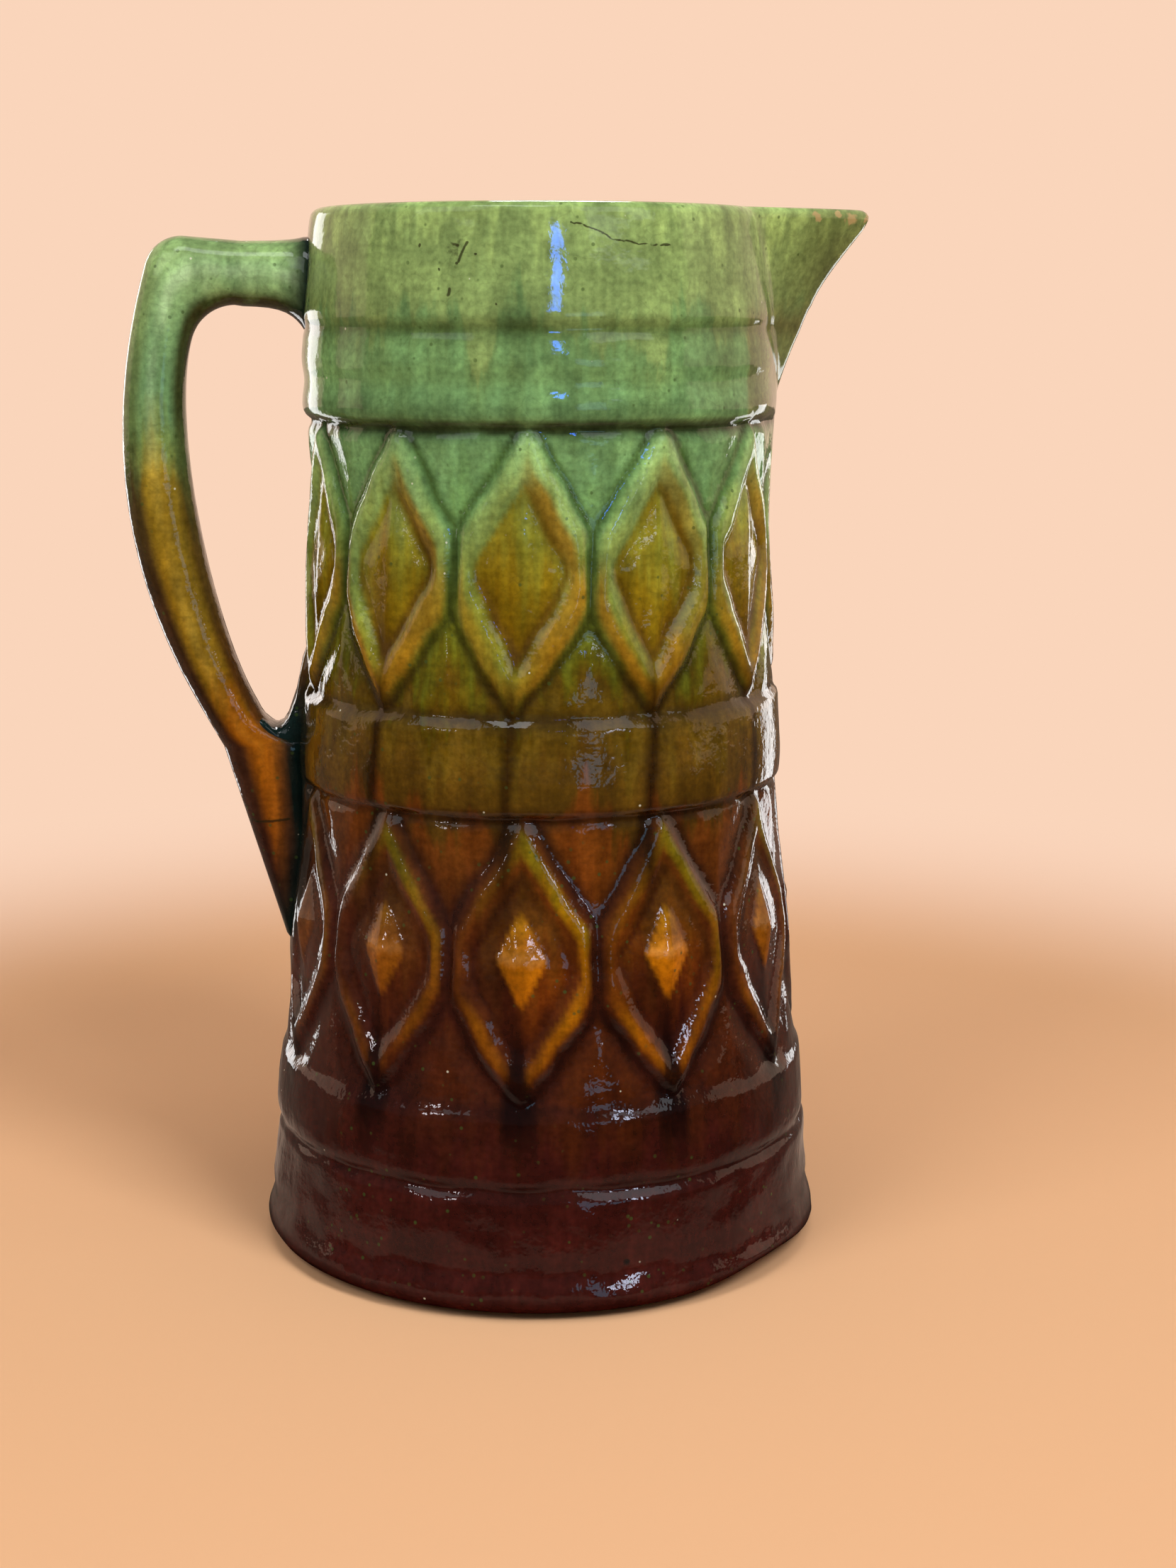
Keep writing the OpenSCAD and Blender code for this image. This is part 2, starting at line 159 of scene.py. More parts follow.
def through(points, v):
    """A smooth curve through points of (position, value)."""
    if v <= points[0][0]:
        return points[0][1]
    if v >= points[-1][0]:
        return points[-1][1]
    i = next(k for k in range(len(points) - 1) if v <= points[k + 1][0])

    def slope(k):
        a, b = points[max(k - 1, 0)], points[min(k + 1, len(points) - 1)]
        return (b[1] - a[1]) / (b[0] - a[0])

    (v0, p0), (v1, p1) = points[i], points[i + 1]
    run = v1 - v0
    t = (v - v0) / run
    return (
        p0 * (1 + 2 * t) * (1 - t) ** 2
        + slope(i) * run * t * (1 - t) ** 2
        + p1 * t * t * (3 - 2 * t)
        + slope(i + 1) * run * t * t * (t - 1)
    )


def steps(points, v):
    """Like through, but level at each point."""
    for (v0, p0), (v1, p1) in zip(points, points[1:]):
        if v <= v1:
            return p0 + (p1 - p0) * ease(v0, v1, v)
    return points[-1][1]


@lru_cache(None)
def outline_r(z):
    return through(OUTLINE, z)


# Depth of the relief across a lozenge's edge, by distance inwards
UPPER_EDGE = ((-8, 0.9), (-1.6, 1.7), (0.8, 0.3), (2.4, 0.0), (3.8, 0.25), (6.4, 1.6), (9, 1.6))
LOWER_EDGE = ((-8, 0.8), (-1.7, 1.6), (0.8, 0.3), (2.4, 0.0), (3.8, 0.25), (6.2, 1.3), (9, 1.25))
PILLOW = ((6.4, 0.0), (12, 0.7))
RIB_RISE = 0.3
RIB_HALF_W = 1.7
STUD_Z = 80.0
STUD_HALF = (5.6, 11.5)
STUD_RISE = 2.1
UPPER_LEAN = 0.056
LOW_BULGE = 0.8


def wander(p, size, seed):
    """A slow hand-made drift, from -1 to 1."""
    return noise.noise(Vector((p[0] / size + seed, p[1] / size, p[2] / size)))


def lozenge_edge(across, rise, half_h, half_pitch):
    """Distance inwards from a lozenge's outer edge."""
    side = SIDE_SHARE * half_pitch
    run = half_h - BLUNT_HALF_H
    slant = (side * (half_h - abs(rise)) - run * abs(across)) / math.hypot(side, run)
    flank = FLANK_STEEP * (side - abs(across))
    return soft_min(slant, flank, CORNER_SOFT)


def tier_relief(angle, z, low, high, studs):
    """A tier's depth, coat shares, way across its lozenge, and the gap between its corners."""
    pitch = 2 * HALF_PITCH
    turn = (angle + HALF_PITCH) % pitch - HALF_PITCH
    r = outline_r(z)
    rise = z - (low + high) / 2
    drift = wander((round((angle - turn) / pitch) * 37.0, turn * r, z), 24.0, 3.7)
    upright = turn * r + 0.8 * drift
    across = upright if studs else upright - UPPER_LEAN * rise
    right, below = ease(-2.5, 2.5, across), ease(-5, 5, -rise)
    inward = lozenge_edge(across, rise, (high - low) / 2, HALF_PITCH * r)
    inward += 0.7 * wander((angle * r, 0.0, z), 7.0, 4.4)
    inward += LOW_BULGE * ease(0, 14, -rise) * ease(-31, -20, rise)
    bar = ease(-1.0, 0.7, inward)
    shares = {
        "ridge": bar * (1 - ease(4.0, 6.2, inward)),
        "field": ease(4.4, 6.6, inward),
        "groove": math.exp(-(((inward + 1.7) / 1.3) ** 2)),
    }
    foot = math.exp(-(((inward - 6.6) / 1.2) ** 2))
    patchy = wander((angle * r, 40.0, z), 13.0, 6.1)
    if studs:
        depth = through(LOWER_EDGE, inward)
        reach = math.hypot(across, 0.4) / STUD_HALF[0] + math.hypot(z - STUD_Z, 0.4) / STUD_HALF[1]
        stud = clamp(1.1 - reach)
        depth -= STUD_RISE * stud
        # Painted shade on the studs: the upper right facet gets less of their coat
        shares["stud"] = ease(0.03, 0.22, stud) * (1 - 0.6 * right * (1 - below))
        blunt = (1 - right) * (1 - ease(6, 15, abs(rise)))
        crest = ease(0.2, 2.0, inward) * (1 - ease(2.7, 4.6, inward))
        dull = 0.45 * (1 - right) * (1 - below)
        shares["ridge"] = crest * clamp(0.95 + 0.7 * patchy) * (1 - 0.7 * blunt) * (1 - dull)
        shares["broken"] = max(right, 0.6 * below) * crest * clamp(0.95 + 0.8 * patchy) * (1 - blunt)
        shares["groove"] = math.exp(-(((inward + 1.6) / 2.0) ** 2))
        # Painted shade: the left part of each lower field, most at its bottom, is darkened with the
        # foot coat
        shaded = (1 - right) * (0.4 + 0.6 * below) * shares["field"] * (1 - shares["stud"])
        shares["foot"] = max(foot * (1 - 0.45 * right), 0.85 * shaded)
    else:
        depth = through(UPPER_EDGE, inward) - steps(PILLOW, inward)
        depth -= RIB_RISE * shares["field"] * math.exp(-((across / RIB_HALF_W) ** 2))
        shares["broken"] = (
            right * (1 - below) * ease(2.2, 3.8, inward) * (1 - ease(6.0, 7.2, inward))
            + (1 - right) * below * bar * (1 - ease(1.6, 3.4, inward))
            + right * below * bar * (1 - ease(4.4, 6.0, inward))
        )
        shares["foot"] = foot * max(right, 0.7 * below, 0.1)
        shares["broken"] *= clamp(0.95 + 0.9 * wander((angle * r, 0.0, z), 26.0, 9.4))
        shares["ridge"] *= clamp(1.0 + 0.7 * patchy)
    gap = (1 - ease(6, 15, abs(rise))) * (1 - ease(-1.4, 0.2, inward))
    return depth, shares, upright, gap


def clear_of_tail(x, y, z):
    """0 under the handle's tail, 1 well away from it."""
    if x > 0:
        return 1.0
    beside = ease(9.5, 14.0, abs(y))
    below = 1 - ease(64.0, 69.0, z)
    above = ease(131.0, 136.0, z)
    return max(beside, below, above)


# Turned rings: height, depth, half width, and how darkly the glaze pooled there; under the collar
# this darkness is painted shade
RINGS = (
    (NECK_GROOVE_Z, 0.6, 1.6, 0.75),
    (NECK_DIP_Z, 0.3, 2.9, 0.0),
    (COLLAR_DIP_Z, 0.5, 2.9, 0.0),
    # Under the collar: the ring with no groove is painted shade where the collar rounds under, and
    # the dark line at the step is part pooled glaze, part painted shade
    (UPPER_TOP_Z + 3.2, 0.0, 2.4, 0.45),
    (UPPER_TOP_Z - 0.2, 1.0, 1.5, 1.3),
    (LEDGE_Z, 0.35, 1.4, 0.85),
    (LOWER_TOP_Z - 0.2, 0.7, 1.2, 0.9),
    (LOWER_FOOT_Z - 1.2, 0.3, 1.3, 0.6),
    (PLINTH_GROOVE_Z, 1.0, 1.5, 0.9),
    (FOOT_DIP_Z, 0.8, 3.4, 0.0),
)
POOL_SPREAD = 0.45
COATS = ("ridge", "field", "broken", "groove", "foot", "stud", "run", "side_shade", "seat", "inside")


@lru_cache(None)
def ring_depth(z):
    return sum(d * math.exp(-(((z - at) / w) ** 2)) for at, d, w, _ in RINGS)


@lru_cache(None)
def ring_pool_and_shade(z):
    return max(k * math.exp(-(((z - at) / (w + POOL_SPREAD)) ** 2)) for at, _, w, k in RINGS)


def glaze_run(across, z):
    """The dark runs under each upper lozenge, and those at each lower lozenge's foot."""
    slip = 1.9 + 2.0 * (1 - ease(104, 136, z))
    half = 1.7 + 0.6 * wander((across, 0.0, z), 9.0, 8.1)
    upper = math.exp(-(((across + slip) / half) ** 2)) * ease(84, 104, z) * (1 - ease(134, 148, z))
    gap = 0.6 + 3.0 * (1 - ease(46, 62, z))
    beside = ease(gap - 0.6, gap + 1.4, abs(across + 0.6))
    lower = (1 - beside) * ease(30, 46, z) * (1 - ease(58, 72, z))
    return max(upper, lower)


# Painted shade on the lower body: it is lightest and most amber here and on the other half's middle,
# and darkens towards the sides between
LEAST_SHADE_ANGLE = math.radians(-78)


def wall_relief(x, y, z):
    """Depth below the outline, and the shares of the glaze coats there."""
    angle = math.atan2(y, x)
    upper = ease(LEDGE_Z - 1.9, LEDGE_Z + 0.9, z)
    upper *= 1 - ease(UPPER_TOP_Z - 0.2, UPPER_TOP_Z + 1.4, z)
    lower = ease(LOWER_FOOT_Z - 3, LOWER_FOOT_Z + 1.2, z)
    lower *= 1 - ease(LOWER_TOP_Z, BAND_FOOT_Z + 0.6, z)
    clear = clear_of_tail(x, y, z)
    if upper > 0 or z >= BAND_FOOT_Z:
        depth, shares, across, gap = tier_relief(angle, z, UPPER_FOOT_Z, UPPER_TOP_Z, False)
        tier = upper * clear
    else:
        depth, shares, across, gap = tier_relief(angle, z, LOWER_FOOT_Z, LOWER_TOP_Z, True)
        tier = lower * clear
    shares["groove"] = max(shares["groove"], 0.9 * gap)
    for name in shares:
        shares[name] *= tier
    uneven = wander((x, y, z), 11.0, 7.7) * (1 - ease(UPPER_TOP_Z - 4, UPPER_TOP_Z + 4, z))
    rings = ring_depth(z + 0.7 * uneven) * (0.4 + 0.6 * clear) * (1 + 0.8 * uneven)
    # Pooled glaze in the rings, and painted shade under the collar
    pooled = ring_pool_and_shade(z + 0.7 * uneven) * (0.9 + 0.5 * wander((x, y, z), 7.0, 2.9))
    shares["groove"] = clamp(max(shares["groove"], pooled))
    shares["run"] = glaze_run(across, z) * clear
    # Painted shade, darker towards the sides and gone above the middle band
    shares["side_shade"] = abs(math.sin(angle - LEAST_SHADE_ANGLE)) ** 1.5 * (1 - ease(88, 118, z))
    shares["seat"] = seat_pool(x, y, z)
    return depth * tier + rings, shares


# Half width and half height of the pools round the handle's ends, and their middles
ARM_POOL = (GRIP_W / 2 + 3.4, GRIP_T / 2 + 6)
ARM_POOL_Z = ARM_Z - 1.5
TAIL_POOL = (16.0, 24.0)
TAIL_POOL_Z = 103.0
TAIL_POOL_FADE = 8.0


def seat_pool(x, y, z):
    """Glaze pooled on the wall round the handle's two ends."""
    if x > 0:
        return 0.0
    arm = math.hypot(y / ARM_POOL[0], (z - ARM_POOL_Z) / ARM_POOL[1])
    past = max(abs(z - TAIL_POOL_Z) - TAIL_POOL[1], 0)
    tail = math.hypot(y / TAIL_POOL[0], past / TAIL_POOL_FADE)
    return max(1 - ease(0.85, 1.12, arm), 0.85 * (1 - ease(0.6, 1.2, tail)))


def body_profile():
    """The jug's section as radius and height, from its floor's middle over the lip to the slab."""
    floor_r = outline_r(FLOOR_Z) - WALL_T
    inside = [(r, FLOOR_Z) for r in (0, 12, 24, 34, 42, floor_r - FLOOR_FILLET)]
    for k in range(1, 6):
        a = math.pi / 2 * k / 5
        inside.append((
            floor_r - FLOOR_FILLET * (1 - math.sin(a)),
            FLOOR_Z + FLOOR_FILLET * (1 - math.cos(a)),
        ))
    lip_z = RIM_Z - LIP_RISE
    for z in (30, 48, 66, 84, 102, 120, 138, 156, 172, 186, 196, 204, 211, 217, 223, 229, 234):
        inside.append((outline_r(z) - WALL_T, z))
    lip_out = outline_r(lip_z)
    lip_half = (WALL_T - 0.3) / 2
    for k in range(9):
        a = math.pi * (1 - k / 8)
        inside.append((lip_out - lip_half + lip_half * math.cos(a), lip_z + LIP_RISE * math.sin(a)))
    outside = [(outline_r(z), z) for z in outer_rows(lip_z)]
    foot_r = outline_r(FOOT_LIFT + FOOT_ROUND)
    foot = []
    for k in range(1, 5):
        a = math.pi / 2 * k / 4
        foot.append((
            foot_r - FOOT_ROUND * (1 - math.cos(a)),
            FOOT_LIFT + FOOT_ROUND * (1 - math.sin(a)),
        ))
    under = [(SLAB_SEAT_R, FOOT_LIFT), (SLAB_SEAT_R, FLOOR_UNDER_Z), (0, FLOOR_UNDER_Z)]
    return inside + outside + foot + under


def outer_rows(lip_z):
    """Heights of the rows down the outside, closer where the relief is."""
    stretches = (
        (NECK_GROOVE_Z + 4.5, 2.0), (NECK_GROOVE_Z - 4, 0.75), (UPPER_TOP_Z + 3, 0.9),
        (BAND_TOP_Z - 1, 1.0), (BAND_FOOT_Z + 2.5, 2.0), (LOWER_FOOT_Z - 4, 1.0),
        (PLINTH_GROOVE_Z + 4, 2.0), (PLINTH_GROOVE_Z - 4, 0.7), (FOOT_LIFT + FOOT_ROUND, 1.8),
    )
    rows, z = [], lip_z
    for low, step in stretches:
        count = max(1, round((z - low) / step))
        rows += [z + (low - z) * k / count for k in range(1, count + 1)]
        z = low
    return rows


def keel_rise(z):
    t = clamp((z - NOTCH_Z) / (TIP_Z - NOTCH_Z))
    return SPOUT_REACH * (KEEL_EVEN * t + (1 - KEEL_EVEN) * t * t)


def pull_beak(x, y, z):
    """Moves a point of the neck out into the beak."""
    half = NOTCH_HALF * clamp((z - NOTCH_Z) / (RIM_Z - NOTCH_Z))
    off = abs(math.atan2(y, x))
    if off >= half:
        return x, y
    return x + keel_rise(z) * (1 - (off / half) ** BEAK_POWER) ** BEAK_EASE, y


def keel_share(x, y, z):
    """Where the beak's keel runs on down the wall."""
    along = ease(*KEEL_STARTS, z) * (1 - ease(*KEEL_ENDS, z))
    return along * math.exp(-((math.atan2(y, x) / KEEL_HALF) ** 2))


# The bottom edge is worn and lifted at the front, to the right
WORN_FOOT_ANGLE = math.radians(-40)
WORN_FOOT_HALF = math.radians(17)
WORN_FOOT_LIFT = 2.6
WORN_FOOT_TOP = 9.0

# Lumps in the wall: size, seed, height, and how much higher they are low down
LUMPS = ((24.0, 1.3, 0.3, 0.5), (9.0, 5.9, 0.12, 0.26))


def jug_body():
    """The two wall halves, the beak and its slip as one glazed wall, with the floor inside."""
    bm = bmesh.new()
    ring = [bm.verts.new((-r, 0, z)) for r, z in body_profile()]
    for a, b in zip(ring, ring[1:]):
        bm.edges.new((a, b))
    bmesh.ops.spin(
        bm, geom=bm.verts[:] + bm.edges[:], cent=(0, 0, 0), axis=(0, 0, 1), dvec=(0, 0, 0),
        angle=math.tau, steps=COLUMNS, use_merge=True, use_duplicate=False,
    )
    bmesh.ops.remove_doubles(bm, verts=bm.verts, dist=0.0005)
    layers = {name: bm.verts.layers.float.new(name) for name in COATS}
    lip_z = RIM_Z - LIP_RISE
    foot_top = FOOT_LIFT + FOOT_ROUND
    for v in bm.verts:
        x, y, z = v.co
        r = math.hypot(x, y)
        outer = r > outline_r(z) - 1 and foot_top - 0.1 <= z <= lip_z + 0.1
        if outer:
            depth, shares = wall_relief(x, y, z)
            for name, amount in shares.items():
                v[layers[name]] = amount
            low = 1 - ease(24, 50, z)
            for size, seed, height, more in LUMPS:
                depth -= (height + more * low) * wander((x, y, 1.6 * z), size, seed)
            depth += (-KEEL_PROUD - depth) * keel_share(x, y, z)
            x, y = x * (r - depth) / r, y * (r - depth) / r
        elif z > FLOOR_Z - 0.1 and r < outline_r(z) - WALL_T + 1.2 + 1.4 * ease(lip_z, RIM_Z, z):
            v[layers["inside"]] = 1.0
        if z <= WORN_FOOT_TOP and r > SLAB_SEAT_R + 0.5:
            off = (math.atan2(y, x) - WORN_FOOT_ANGLE) / WORN_FOOT_HALF
            z += WORN_FOOT_LIFT * math.exp(-off * off) * (1 - ease(FOOT_LIFT, WORN_FOOT_TOP, z))
        if z > NOTCH_Z:
            x, y = pull_beak(x, y, z)
        v.co = x, y, z
    near_beak = [
        v for v in bm.verts
        if v.co.z > NOTCH_Z - 2 and abs(math.atan2(v.co.y, v.co.x)) < NOTCH_HALF + 0.1
    ]
    for _ in range(BEAK_SMOOTHINGS):
        bmesh.ops.smooth_vert(
            bm, verts=near_beak, factor=0.5, use_axis_x=True, use_axis_y=True, use_axis_z=False
        )
    return finished("jug_body", bm)


def cubic(p, t):
    return (
        (1 - t) ** 3 * p[0] + 3 * t * (1 - t) ** 2 * p[1] + 3 * t * t * (1 - t) * p[2] + t**3 * p[3]
    )


def on_wall(z, above=0.0):
    return Vector((-outline_r(z) - above, z))


def grip_curve(start, end, pulls):
    """One edge of the grip, from the corner to the bend."""
    return (
        start,
        start - pulls[0] * Vector((math.cos(CORNER_END), math.sin(CORNER_END))),
        end + pulls[1] * Vector((-math.sin(GRIP_END_LEAN), math.cos(GRIP_END_LEAN))),
        end,
    )


def handle_rings():
    """Outer point, inner point, width and inner fullness of each section, from rim to tail."""
    edges = []
    widths = []
    seat_x = outline_r(ARM_Z)
    for d in (-SINK, -0.6, 0.2, 0.7, 1.3, 2.0, 3.0, 4.4, 6.2, 8.4, 11, ARM_L):
        flare = math.exp(-max(d, 0) / FLARE_L)
        edges.append((
            Vector((-seat_x - d, ARM_Z + GRIP_T / 2 + FLARE_TOP * flare)),
            Vector((-seat_x - d, ARM_Z - GRIP_T / 2 - FLARE_LOW * flare)),
        ))
        widths.append(GRIP_W + FLARE_W * flare)
    corner = []
    for k in range(15):
        a = CORNER_END * k / 14
        out = Vector((-math.sin(a), math.cos(a)))
        corner.append((CORNER_OUT + CORNER_OUT_R * out, CORNER_IN + CORNER_IN_R * out))
    arm_end = edges[-1]
    for k in range(1, 5):
        edges.append(tuple(a.lerp(b, k / 5) for a, b in zip(arm_end, corner[0])))
    edges += corner
    across = Vector((math.cos(BEND_LEAN), math.sin(BEND_LEAN))) * BEND_T / 2
    outer = grip_curve(corner[-1][0], BEND - across, GRIP_OUT_PULLS)
    inner = grip_curve(corner[-1][1], BEND + across, GRIP_IN_PULLS)
    edges += [(cubic(outer, k / 44), cubic(inner, k / 44)) for k in range(1, 45)]
    widths += [GRIP_W] * (len(edges) - len(widths))
    rings = [(*edge, width, SECTION_FULLNESS) for edge, width in zip(edges, widths)]
    return rings + tail_rings(rings[-1])


def tail_rings(bend):
    """The grip turns into the wall under the crotch, and the tail runs down along the wall."""
    low = on_wall(CROTCH_Z - 4, -SINK)
    rings = []
    for k in range(1, 9):
        t = k / 8
        full = SECTION_FULLNESS + (TAIL_FULLNESS - SECTION_FULLNESS) * t
        inner = bend[1].lerp(CROTCH_HOLLOW, t).lerp(CROTCH_HOLLOW.lerp(low, t), t)
        rings.append((bend[0].lerp(KINK, t), inner, GRIP_W, full))
    for k in range(1, 25):
        t = k / 24
        inner_z = low.y + (TAIL_END.y - low.y) * t
        width = GRIP_W + (TAIL_W - GRIP_W) * t
        rings.append((KINK.lerp(TAIL_END, t), on_wall(inner_z, -SINK), width, TAIL_FULLNESS))
    rings.append((TAIL_TIP, on_wall(TAIL_TIP.y - 1, -SINK), TAIL_W - 3, TAIL_FULLNESS))
    return rings


# Slip in the crotch, as a section seen from the side: its hollow top, then its sunk sides
CROTCH_Z = 123.4
CROTCH_TOP = (
    (-67.5, 126.4), (-65.2, 125.6), (-63.6, 124.2), (-62.4, 123.4), (-61.4, 123.2), (-60.0, 123.8),
    (-58.8, 125.6), (-57.8, 128.4), (-56.8, 131.2), (-56.0, 134.6), (-55.2, 138.6), (-53.6, 143.0),
)
CROTCH_HOLLOW = Vector((-63.0, 121.0))
CROTCH_SUNK = (
    (-51.0, 141.0), (-52.6, 126.0), (-52.6, 116.0), (-58.0, 112.0), (-64.0, 112.0), (-68.0, 118.0),
)
CROTCH_HEART = Vector((-58.5, 117.5))
CROTCH_HALF_W = 6.9


def crotch_slip(bm, shares):
    """The fillet of slip that fills the crotch, in sections from the far side to the near side."""
    points = [Vector(p) for p in CROTCH_TOP + CROTCH_SUNK]
    loop = bmesh.ops.create_circle(bm, segments=len(points), radius=500)["verts"]
    edges = list({e for v in loop for e in v.link_edges})
    for k in range(13):
        if k:
            loop, edges = next_section(bm, loop, edges)
        a = math.radians(-84 + 14 * k)
        keep = math.cos(a) ** 0.3
        for v, point in zip(loop, points):
            at = CROTCH_HEART.lerp(point, keep)
            v.co = at.x, CROTCH_HALF_W * math.sin(a), at.y
            v[shares["back"]] = -0.6
            v[shares["seat"]] = 1 - 0.5 * ease(127, 140, at.y)


def fuller(v, fullness):
    return math.copysign(abs(v) ** fullness, v)


def handle():
    """The loop handle, with its flared upper end, its crotch and its tail."""
    bm = bmesh.new()
    shares = {name: bm.verts.layers.float.new(name) for name in ("back", "seat")}
    loop = bmesh.ops.create_circle(bm, segments=SECTION_SIDES, radius=1)["verts"]
    edges = bm.edges[:]
    for k, (outer, inner, width, full) in enumerate(handle_rings()):
        if k:
            loop, edges = next_section(bm, loop, edges)
        for j, v in enumerate(loop):
            place_on_section(v, math.tau * j / SECTION_SIDES, outer, inner, width, full, shares)
    crotch_slip(bm, shares)
    bmesh.ops.holes_fill(bm, edges=[e for e in bm.edges if e.is_boundary], sides=0)
    return finished("loop_handle", bm)


def next_section(bm, loop, edges):
    """Extrudes a ring of edges, and keeps its points in the same order."""
    order = {v.co.to_tuple(): j for j, v in enumerate(loop)}
    grown = bmesh.ops.extrude_edge_only(bm, edges=edges)["geom"]
    new = {g for g in grown if isinstance(g, bmesh.types.BMVert)}
    edges = [g for g in grown if isinstance(g, bmesh.types.BMEdge) and set(g.verts) <= new]
    return sorted(new, key=lambda v: order[v.co.to_tuple()]), edges


def place_on_section(v, a, outer, inner, width, full, shares):
    if math.cos(a) > 0:
        full = SECTION_FULLNESS
    c, s = fuller(math.cos(a), full), fuller(math.sin(a), full)
    p = inner.lerp(outer, (1 + c) / 2)
    x, y, z = p.x, width / 2 * s, p.y
    swell = 1 + 0.02 * wander((x, y, z), 14.0, 6.3)
    y *= swell
    v.co = x, y, z
    v[shares["back"]] = c
    pooled = -1.5 + 2.5 * ease(92, 108, z) * (1 - ease(126, 132, z))
    v[shares["seat"]] = clamp(1.08 - ease(pooled, 7.5, math.hypot(x, y) - outline_r(z)))


def finished(name, bm):
    """Scales a mesh to metres, makes its faces smooth and outward, and adds it to the scene."""
    bmesh.ops.recalc_face_normals(bm, faces=bm.faces)
    bmesh.ops.scale(bm, vec=(MM, MM, MM), verts=bm.verts)
    for face in bm.faces:
        face.smooth = True
    mesh = bpy.data.meshes.new(name)
    bm.to_mesh(mesh)
    bm.free()
    piece = bpy.data.objects.new(name, mesh)
    bpy.context.scene.collection.objects.link(piece)
    return piece


# Glaze colours, as they look on a display
AUBERGINE = (52, 17, 13)
DEEP_BROWN = (40, 14, 10)
OLIVE_BROWN = (84, 62, 14)
RIM_GREEN = (118, 144, 86)
MINT = (132, 172, 108)
DARK_GREEN = (54, 74, 34)
TEAL = (10, 27, 26)
SOOT = (38, 34, 16)
CRAZE = (34, 30, 14)
CLAY = (196, 150, 112)
RUBBED_CLAY = (168, 118, 86)
GROG = (110, 74, 54)
CHIPPED = (164, 148, 100)
PIT_DARK = (12, 8, 8)
PINHOLE_AND_GLINT = (206, 210, 190)
BEAK_SHADE_GREEN = (92, 106, 58)
LUTE_BROWN = (100, 92, 54)
INSIDE_GREEN = (150, 148, 92)
INSIDE_AMBER = (150, 112, 46)

# Each coat up the wall, as height and colour
GROUND_COAT = (
    (0, AUBERGINE), (30, AUBERGINE), (46, (58, 24, 8)), (62, (70, 31, 8)), (84, (82, 40, 8)),
    (106, (98, 54, 14)), (112, (72, 52, 12)), (121, OLIVE_BROWN), (129, (92, 74, 18)),
    (134, (80, 62, 8)), (141, (82, 80, 12)), (149, (96, 106, 28)), (162, (90, 114, 46)),
    (176, (102, 146, 88)), (190, (110, 156, 102)), (206, (104, 144, 90)), (213, (100, 134, 82)),
    (217, RIM_GREEN), (234, RIM_GREEN), (240, (138, 166, 98)),
)
RIDGE_COAT = (
    (48, (74, 34, 6)), (62, (118, 64, 5)), (78, (126, 74, 5)), (92, (110, 82, 7)),
    (108, (92, 84, 16)), (134, (120, 102, 26)), (146, (122, 122, 36)), (158, (116, 134, 58)),
    (176, (126, 154, 86)), (192, MINT),
)
BREAK_COAT = (
    (48, (108, 54, 5)), (62, (144, 88, 5)), (78, (142, 94, 5)), (92, (120, 102, 7)),
    (108, (102, 98, 18)), (134, (128, 92, 16)), (146, (138, 104, 22)), (160, (132, 104, 24)),
    (176, (130, 104, 24)), (188, (130, 118, 40)),
)
FIELD_COAT = (
    (48, (34, 9, 8)), (60, (50, 17, 7)), (72, (88, 40, 5)), (84, (90, 52, 7)), (98, (76, 50, 9)),
    (108, (56, 36, 12)), (138, (80, 58, 18)), (148, (104, 82, 8)), (160, (114, 98, 16)),
    (174, (122, 124, 36)), (188, (120, 142, 72)),
)
POOL_AND_SHADE_COAT = (
    (24, DEEP_BROWN), (60, (24, 7, 7)), (92, (32, 11, 8)), (112, (32, 18, 8)), (131, (46, 32, 14)),
    (140, (46, 38, 10)), (152, (46, 52, 14)), (168, (44, 62, 22)), (188, (60, 88, 38)),
    (191, (34, 44, 20)), (195, (36, 46, 22)), (212, (56, 76, 36)), (232, (96, 116, 62)),
)
# Dark lines at the ridges' feet, also used as painted shade on the lower fields' left parts
FOOT_LINE_AND_SHADE_COAT = (
    (48, (26, 7, 7)), (70, (42, 14, 7)), (100, (54, 26, 8)), (140, (72, 50, 16)),
    (160, (82, 60, 8)), (188, (98, 84, 24)),
)
# The studs' amber with painted light: a painted reflection on the lower facets, a painted highlight
# near the top, and a pale crown line that is part glaze break, part painted highlight
STUD_GLAZE_AND_HIGHLIGHT_COAT = (
    (66, (112, 58, 4)), (71, (162, 96, 4)), (79, (178, 110, 8)), (80.4, (196, 134, 56)),
    (82, (184, 122, 30)), (84, (150, 94, 10)), (88, (182, 128, 15)), (93, (116, 78, 8)),
)
# Painted shade over the lower body's sides
SIDE_SHADE_COAT = ((0, AUBERGINE), (40, (50, 20, 16)), (90, (60, 30, 22)), (112, (74, 48, 22)))
RUN_COAT = ((46, (20, 5, 5)), (80, (24, 8, 5)), (104, (28, 13, 3)), (134, (38, 23, 3)))
HANDLE_COAT = (
    (70, DEEP_BROWN), (86, (74, 36, 12)), (98, (122, 66, 8)), (122, (146, 86, 8)),
    (140, (128, 98, 18)), (166, (126, 104, 24)), (176, (136, 116, 32)), (187, (112, 134, 70)),
    (198, (106, 148, 98)), (214, (112, 150, 100)), (226, (128, 164, 110)), (240, (148, 184, 130)),
)
BACK_COAT = (
    (70, DEEP_BROWN), (120, (58, 34, 20)), (160, (56, 40, 18)), (178, (66, 56, 26)),
    (192, (84, 108, 60)), (230, (126, 156, 98)),
)
# Painted shade for the handle's inner side and underside
INNER_SHADE_COAT = (
    (70, DEEP_BROWN), (120, (84, 48, 16)), (170, (84, 64, 24)), (190, (70, 84, 44)),
    (216, (58, 58, 30)), (224, (72, 92, 52)), (240, (120, 150, 96)),
)
